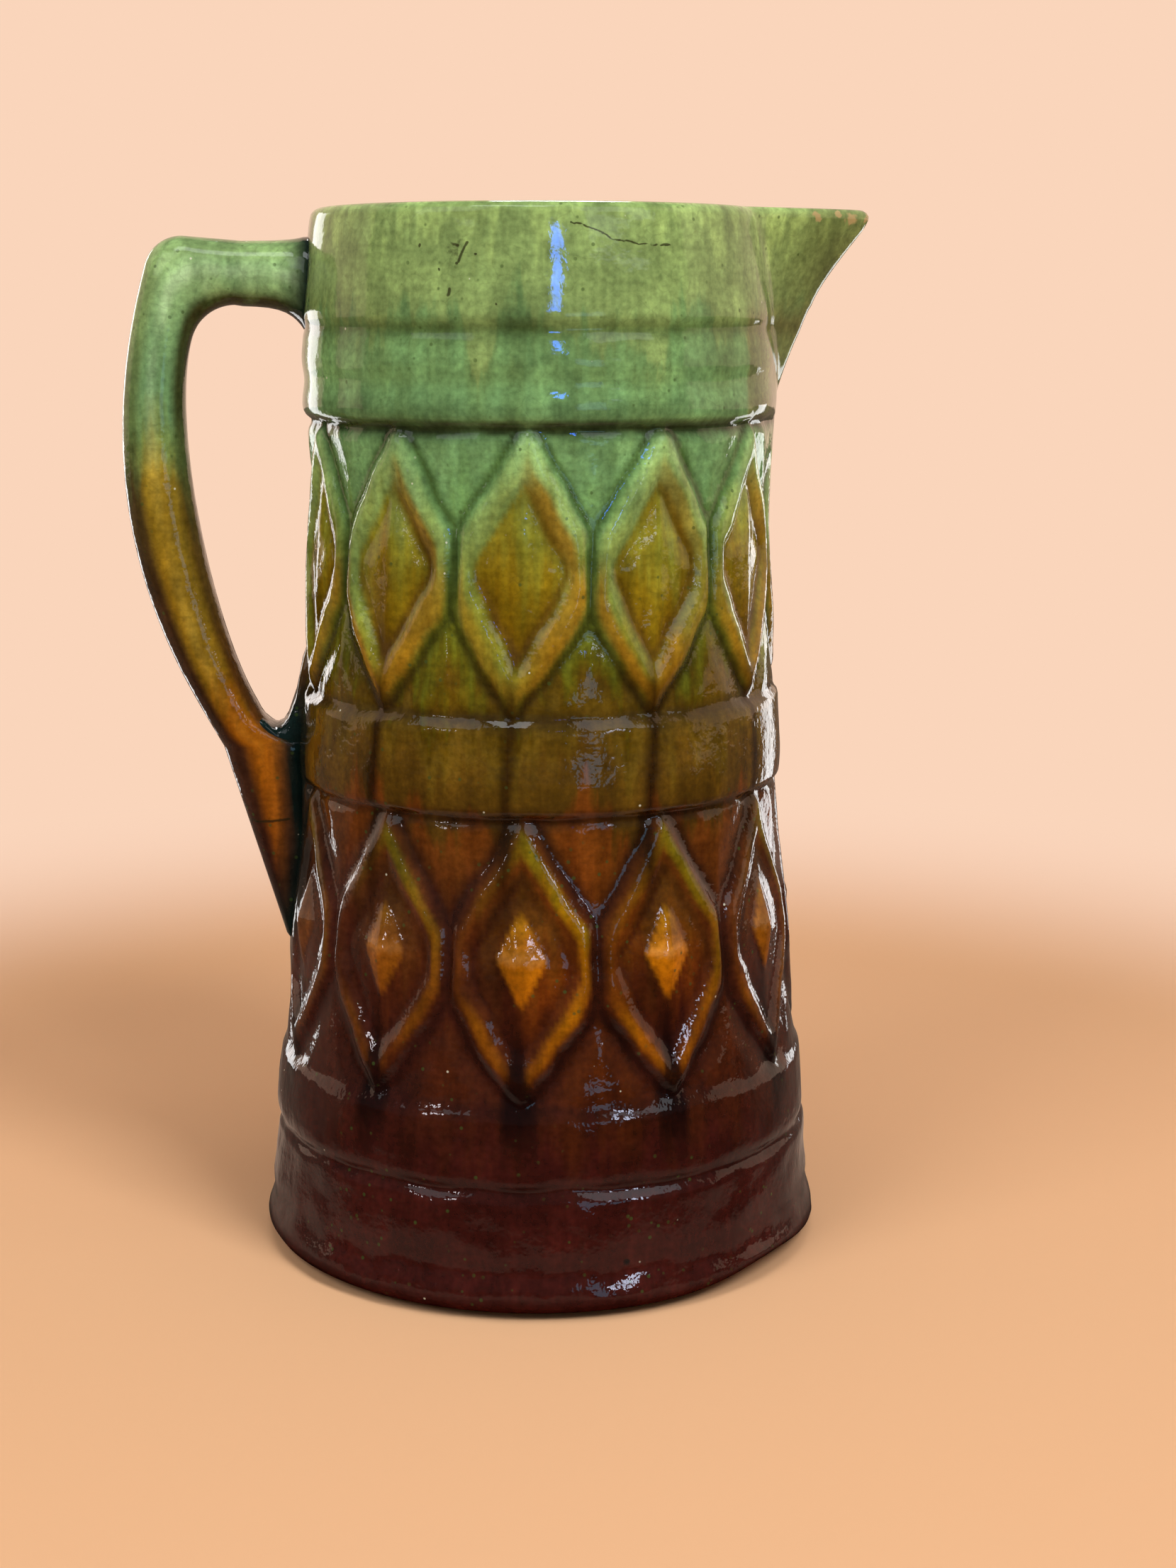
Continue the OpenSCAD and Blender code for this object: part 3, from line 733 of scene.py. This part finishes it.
# A pale band on the handle: thin glaze and a painted highlight
THIN_GLAZE_AND_HIGHLIGHT_COAT = (
    (80, (110, 60, 12)), (112, (176, 104, 20)), (150, (158, 134, 48)), (178, (166, 150, 66)),
    (196, (136, 172, 130)), (240, (178, 208, 164)),
)

# Where the beak's glaze and the slip beside it change, in metres
BEAK_X = (0.05, 0.066)
BEAK_Z = (0.196, 0.212)
LUTE_X = (0.0432, 0.0442)
LUTE_LOW = (0.193, 0.196)
LUTE_HIGH = (0.222, 0.214)


def linear(rgb):
    """A display colour as the shader's own numbers."""
    parts = [c / 255 for c in rgb]
    return (*(c / 12.92 if c <= 0.04045 else ((c + 0.055) / 1.055) ** 2.4 for c in parts), 1.0)


def add(tree, kind, inputs=None, **settings):
    """A node with its settings, and its inputs linked or set."""
    made = tree.nodes.new(kind)
    for key, value in settings.items():
        setattr(made, key, value)
    for key, value in (inputs or {}).items():
        if isinstance(value, bpy.types.NodeSocket):
            tree.links.new(value, made.inputs[key])
        else:
            made.inputs[key].default_value = value
    return made


def sums(tree, operation, a, b=0.0, c=0.0):
    return add(tree, "ShaderNodeMath", {0: a, 1: b, 2: c}, operation=operation).outputs[0]


def vectors(tree, operation, inputs, result="Vector"):
    return add(tree, "ShaderNodeVectorMath", inputs, operation=operation).outputs[result]


def axes(tree, where):
    return add(tree, "ShaderNodeSeparateXYZ", {0: where}).outputs


def blend(tree, amount, a, b, how="MIX"):
    made = add(tree, "ShaderNodeMix", {0: amount, 6: a, 7: b}, data_type="RGBA", blend_type=how)
    return made.outputs[2]


def lay(tree, colour, top, amount, strength):
    """Lays one colour over another, as strongly as its amount times its strength."""
    return blend(tree, sums(tree, "MULTIPLY", amount, strength), colour, top)


def either(tree, amount, a, b):
    """The first shader, or the second where the amount is 1."""
    return add(tree, "ShaderNodeMixShader", {0: amount, 1: a.outputs[0], 2: b.outputs[0]})


def span(tree, value, low, high, to_low=0.0, to_high=1.0):
    inputs = {"Value": value, "From Min": low, "From Max": high, "To Min": to_low, "To Max": to_high}
    return add(tree, "ShaderNodeMapRange", inputs, interpolation_type="SMOOTHSTEP").outputs[0]


def grain(tree, where, scale, detail=3.0, stretch=(1, 1, 1)):
    """Noise in the object's own space, stretched if need be."""
    mapped = add(tree, "ShaderNodeMapping", {"Vector": where, "Scale": stretch}).outputs[0]
    inputs = {"Vector": mapped, "Scale": scale, "Detail": detail, "Roughness": 0.55}
    return add(tree, "ShaderNodeTexNoise", inputs).outputs["Fac"]


def cells(tree, where, scale, **settings):
    inputs = {"Vector": where, "Scale": scale}
    return add(tree, "ShaderNodeTexVoronoi", inputs, **settings).outputs


def coat(tree, level, stops):
    """A coat of glaze that changes with height."""
    made = add(tree, "ShaderNodeValToRGB", {"Fac": level})
    ramp = made.color_ramp
    ramp.elements.remove(ramp.elements[1])
    ramp.elements[0].position = stops[0][0] / RIM_Z
    ramp.elements[0].color = linear(stops[0][1])
    for z, colour in stops[1:]:
        ramp.elements.new(min(z / RIM_Z, 1.0)).color = linear(colour)
    return made.outputs["Color"]


def share(tree, name):
    return add(tree, "ShaderNodeAttribute", attribute_name=name).outputs["Fac"]


def new_material(name):
    material = bpy.data.materials.new(name)
    material.use_nodes = True
    tree = material.node_tree
    shader = tree.nodes["Principled BSDF"]
    where = add(tree, "ShaderNodeTexCoord").outputs["Object"]
    return material, tree, shader, where


def run_level(tree, where):
    """Height as a share of the jug's, drawn down in streaks as the glaze ran."""
    level = sums(tree, "DIVIDE", axes(tree, where)["Z"], RIM_Z * MM)
    streak = grain(tree, where, 190, 3, (1, 1, 0.11))
    cloud = grain(tree, where, 55, 4)
    level = sums(tree, "MULTIPLY_ADD", sums(tree, "SUBTRACT", streak, 0.5), 0.2, level)
    return sums(tree, "MULTIPLY_ADD", sums(tree, "SUBTRACT", cloud, 0.5), 0.08, level)


def true_level(tree, where):
    """Height as a share of the jug's, with a ragged edge."""
    level = sums(tree, "DIVIDE", axes(tree, where)["Z"], RIM_Z * MM)
    fray = grain(tree, where, 420, 3, (1, 1, 0.3))
    return sums(tree, "MULTIPLY_ADD", sums(tree, "SUBTRACT", fray, 0.5), 0.02, level)


def mottled(tree, where, colour):
    """Breaks a coat up with streaks, brush lines, cloudy pooling, crazing and specks; the pale specks
    are pinholes and painted glints.
    """
    cloud = grain(tree, where, 95, 5)
    for value, low, high in (
        (grain(tree, where, 170, 3, (1, 1, 0.12)), 0.78, 1.22),
        (grain(tree, where, 480, 2, (1, 1, 0.1)), 0.88, 1.12),
        (cloud, 0.7, 1.3),
        (grain(tree, where, 620, 2, (0.1, 0.1, 1)), 0.92, 1.08),
        (grain(tree, where, 700, 4), 0.76, 1.24),
    ):
        colour = blend(tree, 1.0, colour, tone(tree, value, low, high), "MULTIPLY")
    net = cells(tree, ragged(tree, where), 240, feature="DISTANCE_TO_EDGE")["Distance"]
    crazing = sums(tree, "MULTIPLY", span(tree, net, 0.05, 0.01), span(tree, cloud, 0.42, 0.6))
    colour = lay(tree, colour, linear(CRAZE), crazing, 0.12)
    dots = cells(tree, where, 330)["Distance"]
    specks = sums(tree, "MULTIPLY", span(tree, dots, 0.18, 0.09), span(tree, cloud, 0.48, 0.6))
    colour = lay(tree, colour, linear(DARK_GREEN), specks, 0.65)
    # Pale specks: pinholes, and tiny painted glints
    holes = cells(tree, where, 170)
    chosen = span(tree, holes["Color"], 0.55, 0.6)
    pale = sums(tree, "MULTIPLY", span(tree, holes["Distance"], 0.055, 0.035), chosen)
    return lay(tree, colour, linear(PINHOLE_AND_GLINT), pale, 0.7)


def ragged(tree, where, reach=0.0012):
    """A place moved about a little, so that lines drawn there are ragged."""
    inputs = {"Vector": where, "Scale": 420.0, "Detail": 2.0}
    drift = add(tree, "ShaderNodeTexNoise", inputs).outputs["Color"]
    middle = vectors(tree, "SUBTRACT", {0: drift, 1: (0.5, 0.5, 0.5)})
    moved = vectors(tree, "SCALE", {0: middle, "Scale": reach})
    return vectors(tree, "ADD", {0: where, 1: moved})


def near_line(tree, where, start, end, half_w):
    """1 on a hairline between two places, fading over its half width."""
    way = end - start
    off = vectors(tree, "SUBTRACT", {0: where, 1: start})
    along = vectors(tree, "DOT_PRODUCT", {0: off, 1: way / way.length_squared}, "Value")
    held = add(tree, "ShaderNodeMath", {0: along, 1: 1.0}, operation="MULTIPLY", use_clamp=True)
    foot = vectors(tree, "SCALE", {0: way, "Scale": held.outputs[0]})
    gap = vectors(tree, "DISTANCE", {0: off, 1: foot}, "Value")
    return span(tree, gap, half_w, 0.4 * half_w)


def near_spot(tree, where, middle, radius):
    gap = vectors(tree, "DISTANCE", {0: where, 1: middle}, "Value")
    return span(tree, gap, radius, 0.6 * radius)


def most(tree, values):
    top = values[0]
    for value in values[1:]:
        top = sums(tree, "MAXIMUM", top, value)
    return top


# Flaws, by the angle to the right of the photograph's view and the height
VIEW_ANGLE = math.radians(-95.2)
RIM_CRACK = ((8.7, 235.7), (14.0, 234.2), (19.5, 232.0), (26.0, 231.2), (33.2, 231.2))
RIM_SCRATCHES = (
    ((-17.0, 227.6), (-16.4, 229.2)), ((-16.4, 229.2), (-14.8, 231.6)),
    ((-18.6, 231.2), (-17.4, 231.0)), ((-19.3, 220.8), (-19.1, 221.9)),
)
RIM_SMUDGE = (-16.6, 229.4, 4.2)
RIM_SPECKS = (
    (-13.2, 229.2, 0.4), (-17.4, 227.2, 0.45), (-21.8, 226.0, 0.4), (-8.0, 219.0, 0.35),
    (-27.0, 231.0, 0.4),
)
PLINTH_PIT = (18.3, 12.1, 1.5)

# Chips on the beak's edge by place and size, and the crack in the tail as seen from the side
BEAK_CHIPS = (
    (76.0, -1.4, 238.2, 1.6), (71.3, -5.8, 237.6, 2.4), (68.0, -8.6, 239.0, 1.3),
    (62.3, -12.0, 238.4, 1.7),
)
CHIP_RAGGED = 0.0045
TAIL_CRACK = ((-70.5, 101.6), (-66.0, 100.6), (-59.0, 101.4))


def on_jug(view, z):
    """A place on the body's outside, in metres."""
    a = math.radians(view) + VIEW_ANGLE
    return Vector((outline_r(z) * math.cos(a), outline_r(z) * math.sin(a), z)) * MM


def body_flaws(tree, where, colour):
    """The hair crack and specks under the rim, the pit in the plinth, and the chips on the beak."""
    rough = ragged(tree, where)
    marks = [
        near_line(tree, rough, on_jug(*a), on_jug(*b), 0.28 * MM)
        for a, b in zip(RIM_CRACK, RIM_CRACK[1:])
    ]
    marks += [near_line(tree, rough, on_jug(*a), on_jug(*b), 0.5 * MM) for a, b in RIM_SCRATCHES]
    marks += [near_spot(tree, rough, on_jug(view, z), size * MM) for view, z, size in RIM_SPECKS]
    colour = lay(tree, colour, linear(SOOT), most(tree, marks), 0.85)
    view, z, size = RIM_SMUDGE
    patch = near_spot(tree, rough, on_jug(view, z), size * MM)
    smudge = sums(tree, "MULTIPLY", patch, span(tree, grain(tree, where, 520), 0.5, 0.7))
    colour = lay(tree, colour, linear(SOOT), smudge, 0.6)
    view, z, size = PLINTH_PIT
    pit = near_spot(tree, rough, on_jug(view, z), size * MM)
    colour = blend(tree, pit, colour, linear(PIT_DARK))
    torn = ragged(tree, where, CHIP_RAGGED)
    chips = [
        near_spot(tree, torn, Vector((x, y, z)) * MM, size * MM) for x, y, z, size in BEAK_CHIPS
    ]
    return blend(tree, most(tree, chips), colour, linear(CHIPPED))


def tail_flaws(tree, where, colour):
    """The firing crack across the handle's tail."""
    side = vectors(tree, "MULTIPLY", {0: ragged(tree, where), 1: (1, 0, 1)})
    marks = [
        near_line(tree, side, Vector((*a, 0)).xzy * MM, Vector((*b, 0)).xzy * MM, 0.4 * MM)
        for a, b in zip(TAIL_CRACK, TAIL_CRACK[1:])
    ]
    return lay(tree, colour, linear(SOOT), most(tree, marks), 0.85)


def tone(tree, value, low, high):
    """A grey from noise that lies mostly between 0.3 and 0.7."""
    made = add(tree, "ShaderNodeMapRange", {
        "Value": value, "From Min": 0.3, "From Max": 0.7, "To Min": low, "To Max": high,
    }).outputs[0]
    return add(tree, "ShaderNodeCombineColor", {0: made, 1: made, 2: made}).outputs[0]


def gloss(tree, shader, where):
    """A wet-looking skin with a fine orange peel, and slow ripples that calm down on the neck."""
    roughness = span(tree, grain(tree, where, 160, 3), 0.35, 0.75, 0.03, 0.1)
    tree.links.new(roughness, shader.inputs["Roughness"])
    shader.inputs["Specular IOR Level"].default_value = 0.4
    ripple = add(tree, "ShaderNodeBump", {
        "Height": grain(tree, where, 210, 3), "Distance": 0.0003,
        "Strength": span(tree, axes(tree, where)["Z"], 0.188, 0.198, 1.0, 0.2),
    })
    peel = add(tree, "ShaderNodeBump", {
        "Height": grain(tree, where, 900, 2), "Distance": 0.00002, "Normal": ripple.outputs[0],
    })
    tree.links.new(peel.outputs[0], shader.inputs["Normal"])


def beak_tint(tree, where, colour):
    """Painted shade: a darker, duller green on the beak; and brown over the slip beside it."""
    at = axes(tree, where)
    beak = sums(tree, "MULTIPLY", span(tree, at["X"], *BEAK_X), span(tree, at["Z"], *BEAK_Z))
    colour = lay(tree, colour, linear(BEAK_SHADE_GREEN), beak, 0.6)
    drift = sums(tree, "SUBTRACT", grain(tree, where, 140), 0.5)
    side = sums(tree, "MULTIPLY_ADD", drift, 0.003, at["X"])
    tall = sums(tree, "MULTIPLY", span(tree, at["Z"], *LUTE_LOW), span(tree, at["Z"], *LUTE_HIGH))
    lute = sums(tree, "MULTIPLY", span(tree, side, *LUTE_X), tall)
    return lay(tree, colour, linear(LUTE_BROWN), lute, 0.55)


def body_glaze():
    """The body's runny glaze: green at the rim, amber on the lower ridges, aubergine at the foot."""
    material, tree, shader, where = new_material("body_glaze")
    level, true = run_level(tree, where), true_level(tree, where)
    colour = coat(tree, level, GROUND_COAT)
    for name, stops, strength in (
        ("field", FIELD_COAT, 1.0), ("ridge", RIDGE_COAT, 1.0), ("broken", BREAK_COAT, 0.9),
        ("stud", STUD_GLAZE_AND_HIGHLIGHT_COAT, 1.0), ("groove", POOL_AND_SHADE_COAT, 0.92), ("foot", FOOT_LINE_AND_SHADE_COAT, 0.9),
        ("side_shade", SIDE_SHADE_COAT, 0.8), ("run", RUN_COAT, 0.92),
    ):
        height = true if name in ("stud", "groove") else level
        colour = lay(tree, colour, coat(tree, height, stops), share(tree, name), strength)
    colour = blend(tree, share(tree, "seat"), colour, linear(TEAL))
    colour = beak_tint(tree, where, colour)
    patchy = span(tree, grain(tree, where, 60, 4, (1, 1, 0.2)), 0.4, 0.62)
    inside = blend(tree, patchy, linear(INSIDE_GREEN), linear(INSIDE_AMBER))
    colour = blend(tree, share(tree, "inside"), colour, inside)
    colour = body_flaws(tree, where, mottled(tree, where, colour))
    tree.links.new(colour, shader.inputs["Base Color"])
    gloss(tree, shader, where)
    return material


def handle_glaze():
    """The handle's glaze: green on the arm, amber on the grip, brown behind, teal where it pooled,
    with painted shade inside and a painted highlight along the grip.
    """
    material, tree, shader, where = new_material("handle_glaze")
    level = run_level(tree, where)
    colour = coat(tree, level, HANDLE_COAT)
    across = share(tree, "back")
    colour = blend(tree, span(tree, across, 0.22, 0.62), colour, coat(tree, level, BACK_COAT))
    # Painted shade on the handle's inner side and underside
    colour = blend(tree, span(tree, across, -0.45, -0.8), colour, coat(tree, level, INNER_SHADE_COAT))
    # Painted highlight down the grip's front, partly a pale break of thin glaze
    crown = span(tree, across, 0.32, 0.06, 0.0, 0.5)
    thin_and_highlight = sums(tree, "MULTIPLY", span(tree, across, -0.3, 0.0), crown)
    patchy = span(tree, grain(tree, where, 120, 3, (1, 1, 0.3)), 0.3, 0.6)
    thin_and_highlight = sums(tree, "MULTIPLY", thin_and_highlight, patchy)
    colour = blend(tree, thin_and_highlight, colour, coat(tree, level, THIN_GLAZE_AND_HIGHLIGHT_COAT))
    colour = blend(tree, share(tree, "seat"), colour, linear(TEAL))
    colour = tail_flaws(tree, where, mottled(tree, where, colour))
    tree.links.new(colour, shader.inputs["Base Color"])
    gloss(tree, shader, where)
    return material


def bare_clay():
    """Unglazed foot: buff clay with dark grog and rubbed, browner patches."""
    material, tree, shader, where = new_material("bare_clay")
    patch = grain(tree, where, 60, 4)
    colour = blend(tree, span(tree, patch, 0.4, 0.65), linear(CLAY), linear(RUBBED_CLAY))
    grog = cells(tree, where, 420)["Distance"]
    colour = blend(tree, span(tree, grog, 0.2, 0.1), colour, linear(GROG))
    tree.links.new(colour, shader.inputs["Base Color"])
    shader.inputs["Roughness"].default_value = 0.8
    bump = add(tree, "ShaderNodeBump", {"Height": grain(tree, where, 700, 4), "Distance": 0.0002})
    tree.links.new(bump.outputs[0], shader.inputs["Normal"])
    return material


def dress(piece, material, slot, *nodes):
    """Gives a piece its glaze, hangs it under the root, and hides the solids it stands for."""
    piece.data.materials.append(material)
    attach(piece, "root")
    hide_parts(*nodes)


dress(jug_body(), body_glaze(), "body_glaze", "near_wall", "far_wall", "spout", "spout_lute")
dress(handle(), handle_glaze(), "amber_glaze", "handle", "upper_handle_lute", "lower_handle_lute")
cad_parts["base_slab"].material_slots[0].material = bare_clay()

# Camera, from the photograph's own view
IMAGE_H = 2212
FOCAL_PX = 3322
SENSOR = 36
CAMERA_AT = Vector((-0.0383, -0.5467, 0.2197))
CAMERA_TURN = math.radians(5.2)
CAMERA_TILT = math.radians(11.6)


def camera():
    data = bpy.data.cameras.new("camera")
    data.sensor_width = SENSOR
    data.lens = FOCAL_PX / IMAGE_H * SENSOR
    made = bpy.data.objects.new("camera", data)
    bpy.context.scene.collection.objects.link(made)
    made.location = CAMERA_AT
    ahead = Vector((
        math.sin(CAMERA_TURN) * math.cos(CAMERA_TILT),
        math.cos(CAMERA_TURN) * math.cos(CAMERA_TILT),
        -math.sin(CAMERA_TILT),
    ))
    made.rotation_euler = ahead.to_track_quat("-Z", "Y").to_euler()
    bpy.context.scene.camera = made


# Stage, in metres from the jug's axis
FLOOR_COLOUR = (221, 175, 134)
BACKDROP_COLOUR = (250, 213, 187)
FLOOR_HALF = 4.0
FLOOR_FADE = (0.24, 0.5)

# How bright the floor is in the jug's gloss: close to it, farther off, and behind it
GLOSS_CLOSE = 0.4
GLOSS_FAR = 0.05
GLOSS_BEHIND = 0.2
CLOSE_ENDS = (0.105, 0.15)
BEHIND_STARTS = (-0.06, 0.03)
SHADE_ENDS = (0.064, 0.09)

BACKDROP_R = 2.2
BACKDROP_H = 2.6
BACKDROP_RIGHT = math.radians(76)
BACKDROP_LEFT = math.radians(90)
ROOM_LIGHT = 0.3
ROOM_IN_GLOSS = 0.08


def stage_piece(name, bm, material):
    mesh = bpy.data.meshes.new(name)
    bm.to_mesh(mesh)
    bm.free()
    mesh.materials.append(material)
    piece = bpy.data.objects.new(name, mesh)
    bpy.context.scene.collection.objects.link(piece)


def floor_material():
    """A pale floor that keeps the shadow, fades into the backdrop, and is dim in the jug's gloss."""
    material, tree, shader, where = new_material("floor")
    far = vectors(tree, "LENGTH", {0: where}, "Value")
    fade = span(tree, far, *FLOOR_FADE)
    colour = blend(tree, fade, linear(FLOOR_COLOUR), linear(BACKDROP_COLOUR))
    tree.links.new(colour, shader.inputs["Base Color"])
    shader.inputs["Roughness"].default_value = 1.0
    shader.inputs["Specular IOR Level"].default_value = 0.0
    path = add(tree, "ShaderNodeLightPath").outputs
    own = add(tree, "ShaderNodeEmission", {"Color": linear(BACKDROP_COLOUR), "Strength": 1.0})
    seen = sums(tree, "MULTIPLY", path["Is Camera Ray"], fade)
    shown = either(tree, seen, shader, own)
    behind = span(tree, axes(tree, where)["Y"], *BEHIND_STARTS, GLOSS_FAR, GLOSS_BEHIND)
    glow = sums(tree, "MAXIMUM", span(tree, far, *CLOSE_ENDS, GLOSS_CLOSE, GLOSS_FAR), behind)
    glow = sums(tree, "MULTIPLY", glow, span(tree, far, *SHADE_ENDS))
    mirrored = add(tree, "ShaderNodeEmission", {"Color": linear(BACKDROP_COLOUR), "Strength": glow})
    mixed = either(tree, path["Is Glossy Ray"], shown, mirrored)
    tree.links.new(mixed.outputs[0], tree.nodes["Material Output"].inputs["Surface"])
    return material


def backdrop_material():
    """Keeps its own pale colour to the eye and in reflections, and is a plain wall to other light."""
    material, tree, shader, _ = new_material("backdrop")
    shader.inputs["Base Color"].default_value = linear(BACKDROP_COLOUR)
    shader.inputs["Roughness"].default_value = 0.9
    path = add(tree, "ShaderNodeLightPath").outputs
    seen = sums(tree, "MAXIMUM", path["Is Camera Ray"], path["Is Glossy Ray"])
    seen = sums(tree, "MAXIMUM", seen, path["Is Transmission Ray"])
    own = add(tree, "ShaderNodeEmission", {"Color": linear(BACKDROP_COLOUR), "Strength": 1.0})
    mixed = either(tree, seen, shader, own)
    tree.links.new(mixed.outputs[0], tree.nodes["Material Output"].inputs["Surface"])
    return material


def stage():
    bm = bmesh.new()
    bmesh.ops.create_grid(bm, x_segments=1, y_segments=1, size=FLOOR_HALF)
    stage_piece("floor", bm, floor_material())
    bm = bmesh.new()
    turned = math.pi - BACKDROP_RIGHT + CAMERA_TURN
    low = bm.verts.new((BACKDROP_R * math.sin(turned), BACKDROP_R * math.cos(turned), 0))
    high = bm.verts.new((low.co.x, low.co.y, BACKDROP_H))
    bm.edges.new((low, high))
    bmesh.ops.spin(
        bm, geom=bm.verts[:] + bm.edges[:], cent=(0, 0, 0), axis=(0, 0, 1), dvec=(0, 0, 0),
        angle=math.tau - BACKDROP_RIGHT - BACKDROP_LEFT, steps=64,
    )
    stage_piece("backdrop", bm, backdrop_material())


def softbox(
    name, side, rise, far, size, radiance, colour=(1, 1, 1),
    lights_up=True, mirrors=True, aim_z=0.12, grid=None,
):
    """A soft lamp seen from the jug at an angle to the camera's right and above the horizon.

    A grid in front of it keeps its light within an angle.
    """
    data = bpy.data.lights.new(name, "AREA")
    data.shape = "RECTANGLE"
    data.size, data.size_y = size
    data.energy = radiance * math.pi * size[0] * size[1]
    if grid:
        data.spread = math.radians(grid)
        data.energy *= 1 - data.spread / 2 / math.tan(data.spread / 2)
    data.color = colour
    made = bpy.data.objects.new(name, data)
    bpy.context.scene.collection.objects.link(made)
    turn, lift = math.radians(side) - CAMERA_TURN, math.radians(rise)
    out = Vector((math.sin(turn) * math.cos(lift), -math.cos(turn) * math.cos(lift), math.sin(lift)))
    made.location = Vector((0, 0, aim_z)) + far * out
    made.rotation_euler = (-out).to_track_quat("-Z", "Y").to_euler()
    made.visible_camera = False
    made.visible_diffuse = lights_up
    made.visible_glossy = mirrors


def lights():
    """Three lamps light the jug, and the others only show in its gloss."""
    softbox("window", 38, 46, 1.6, (0.5, 0.7), 14.5, mirrors=False)
    softbox("fill", -42, 40, 1.6, (0.7, 0.8), 5, mirrors=False)
    softbox("top", 10, 80, 1.4, (0.6, 0.6), 4, mirrors=False)
    softbox("back", 178, 48, 1.6, (0.35, 0.3), 14, lights_up=False)
    softbox("pane_right", 42, 34, 1.6, (0.9, 0.9), 1.6, (0.86, 0.93, 1.0), lights_up=False)
    softbox("pane_left", -46, 36, 1.6, (0.9, 0.9), 1.1, (0.9, 0.95, 1.0), lights_up=False)
    softbox("pane_front", 24, 2, 1.7, (0.4, 0.3), 1.7, (0.35, 0.7, 1.0), lights_up=False)
    softbox(
        "slit", 10, 12, 0.6, (0.056, 0.076), 36, (0.05, 0.2, 1.0),
        lights_up=False, aim_z=0.217, grid=18,
    )
    softbox(
        "glint", 36, 16, 0.8, (0.08, 0.1), 22, (0.7, 0.78, 1.0),
        lights_up=False, aim_z=0.02, grid=22,
    )
    softbox(
        "glint_left", -44, 16, 0.8, (0.05, 0.07), 24, (1.0, 0.92, 0.96),
        lights_up=False, aim_z=0.02, grid=22,
    )
    softbox("sky", -18, 64, 1.4, (0.7, 0.4), 4, (0.92, 0.96, 1.0), lights_up=False)
    softbox("edge_right", 133, 0, 0.34, (0.08, 0.17), 3.2, lights_up=False, aim_z=0.09)
    softbox("edge_left", -131, 6, 0.33, (0.08, 0.32), 3.2, lights_up=False)


def room():
    """Even light from all round, dimmer in the gloss, with the backdrop's colour to the eye."""
    world = bpy.data.worlds.new("room")
    world.use_nodes = True
    tree = world.node_tree
    path = add(tree, "ShaderNodeLightPath").outputs
    even = tree.nodes["Background"]
    even.inputs["Color"].default_value = (1.0, 0.97, 0.94, 1)
    dimmer = ROOM_IN_GLOSS - ROOM_LIGHT
    level = sums(tree, "MULTIPLY_ADD", path["Is Glossy Ray"], dimmer, ROOM_LIGHT)
    tree.links.new(level, even.inputs["Strength"])
    seen = add(tree, "ShaderNodeBackground", {"Color": linear(BACKDROP_COLOUR), "Strength": 1.0})
    mixed = either(tree, path["Is Camera Ray"], even, seen)
    tree.links.new(mixed.outputs[0], tree.nodes["World Output"].inputs["Surface"])
    bpy.context.scene.world = world


camera()
stage()
lights()
room()
bpy.context.scene.view_settings.view_transform = "Standard"
bpy.context.view_layer.update()
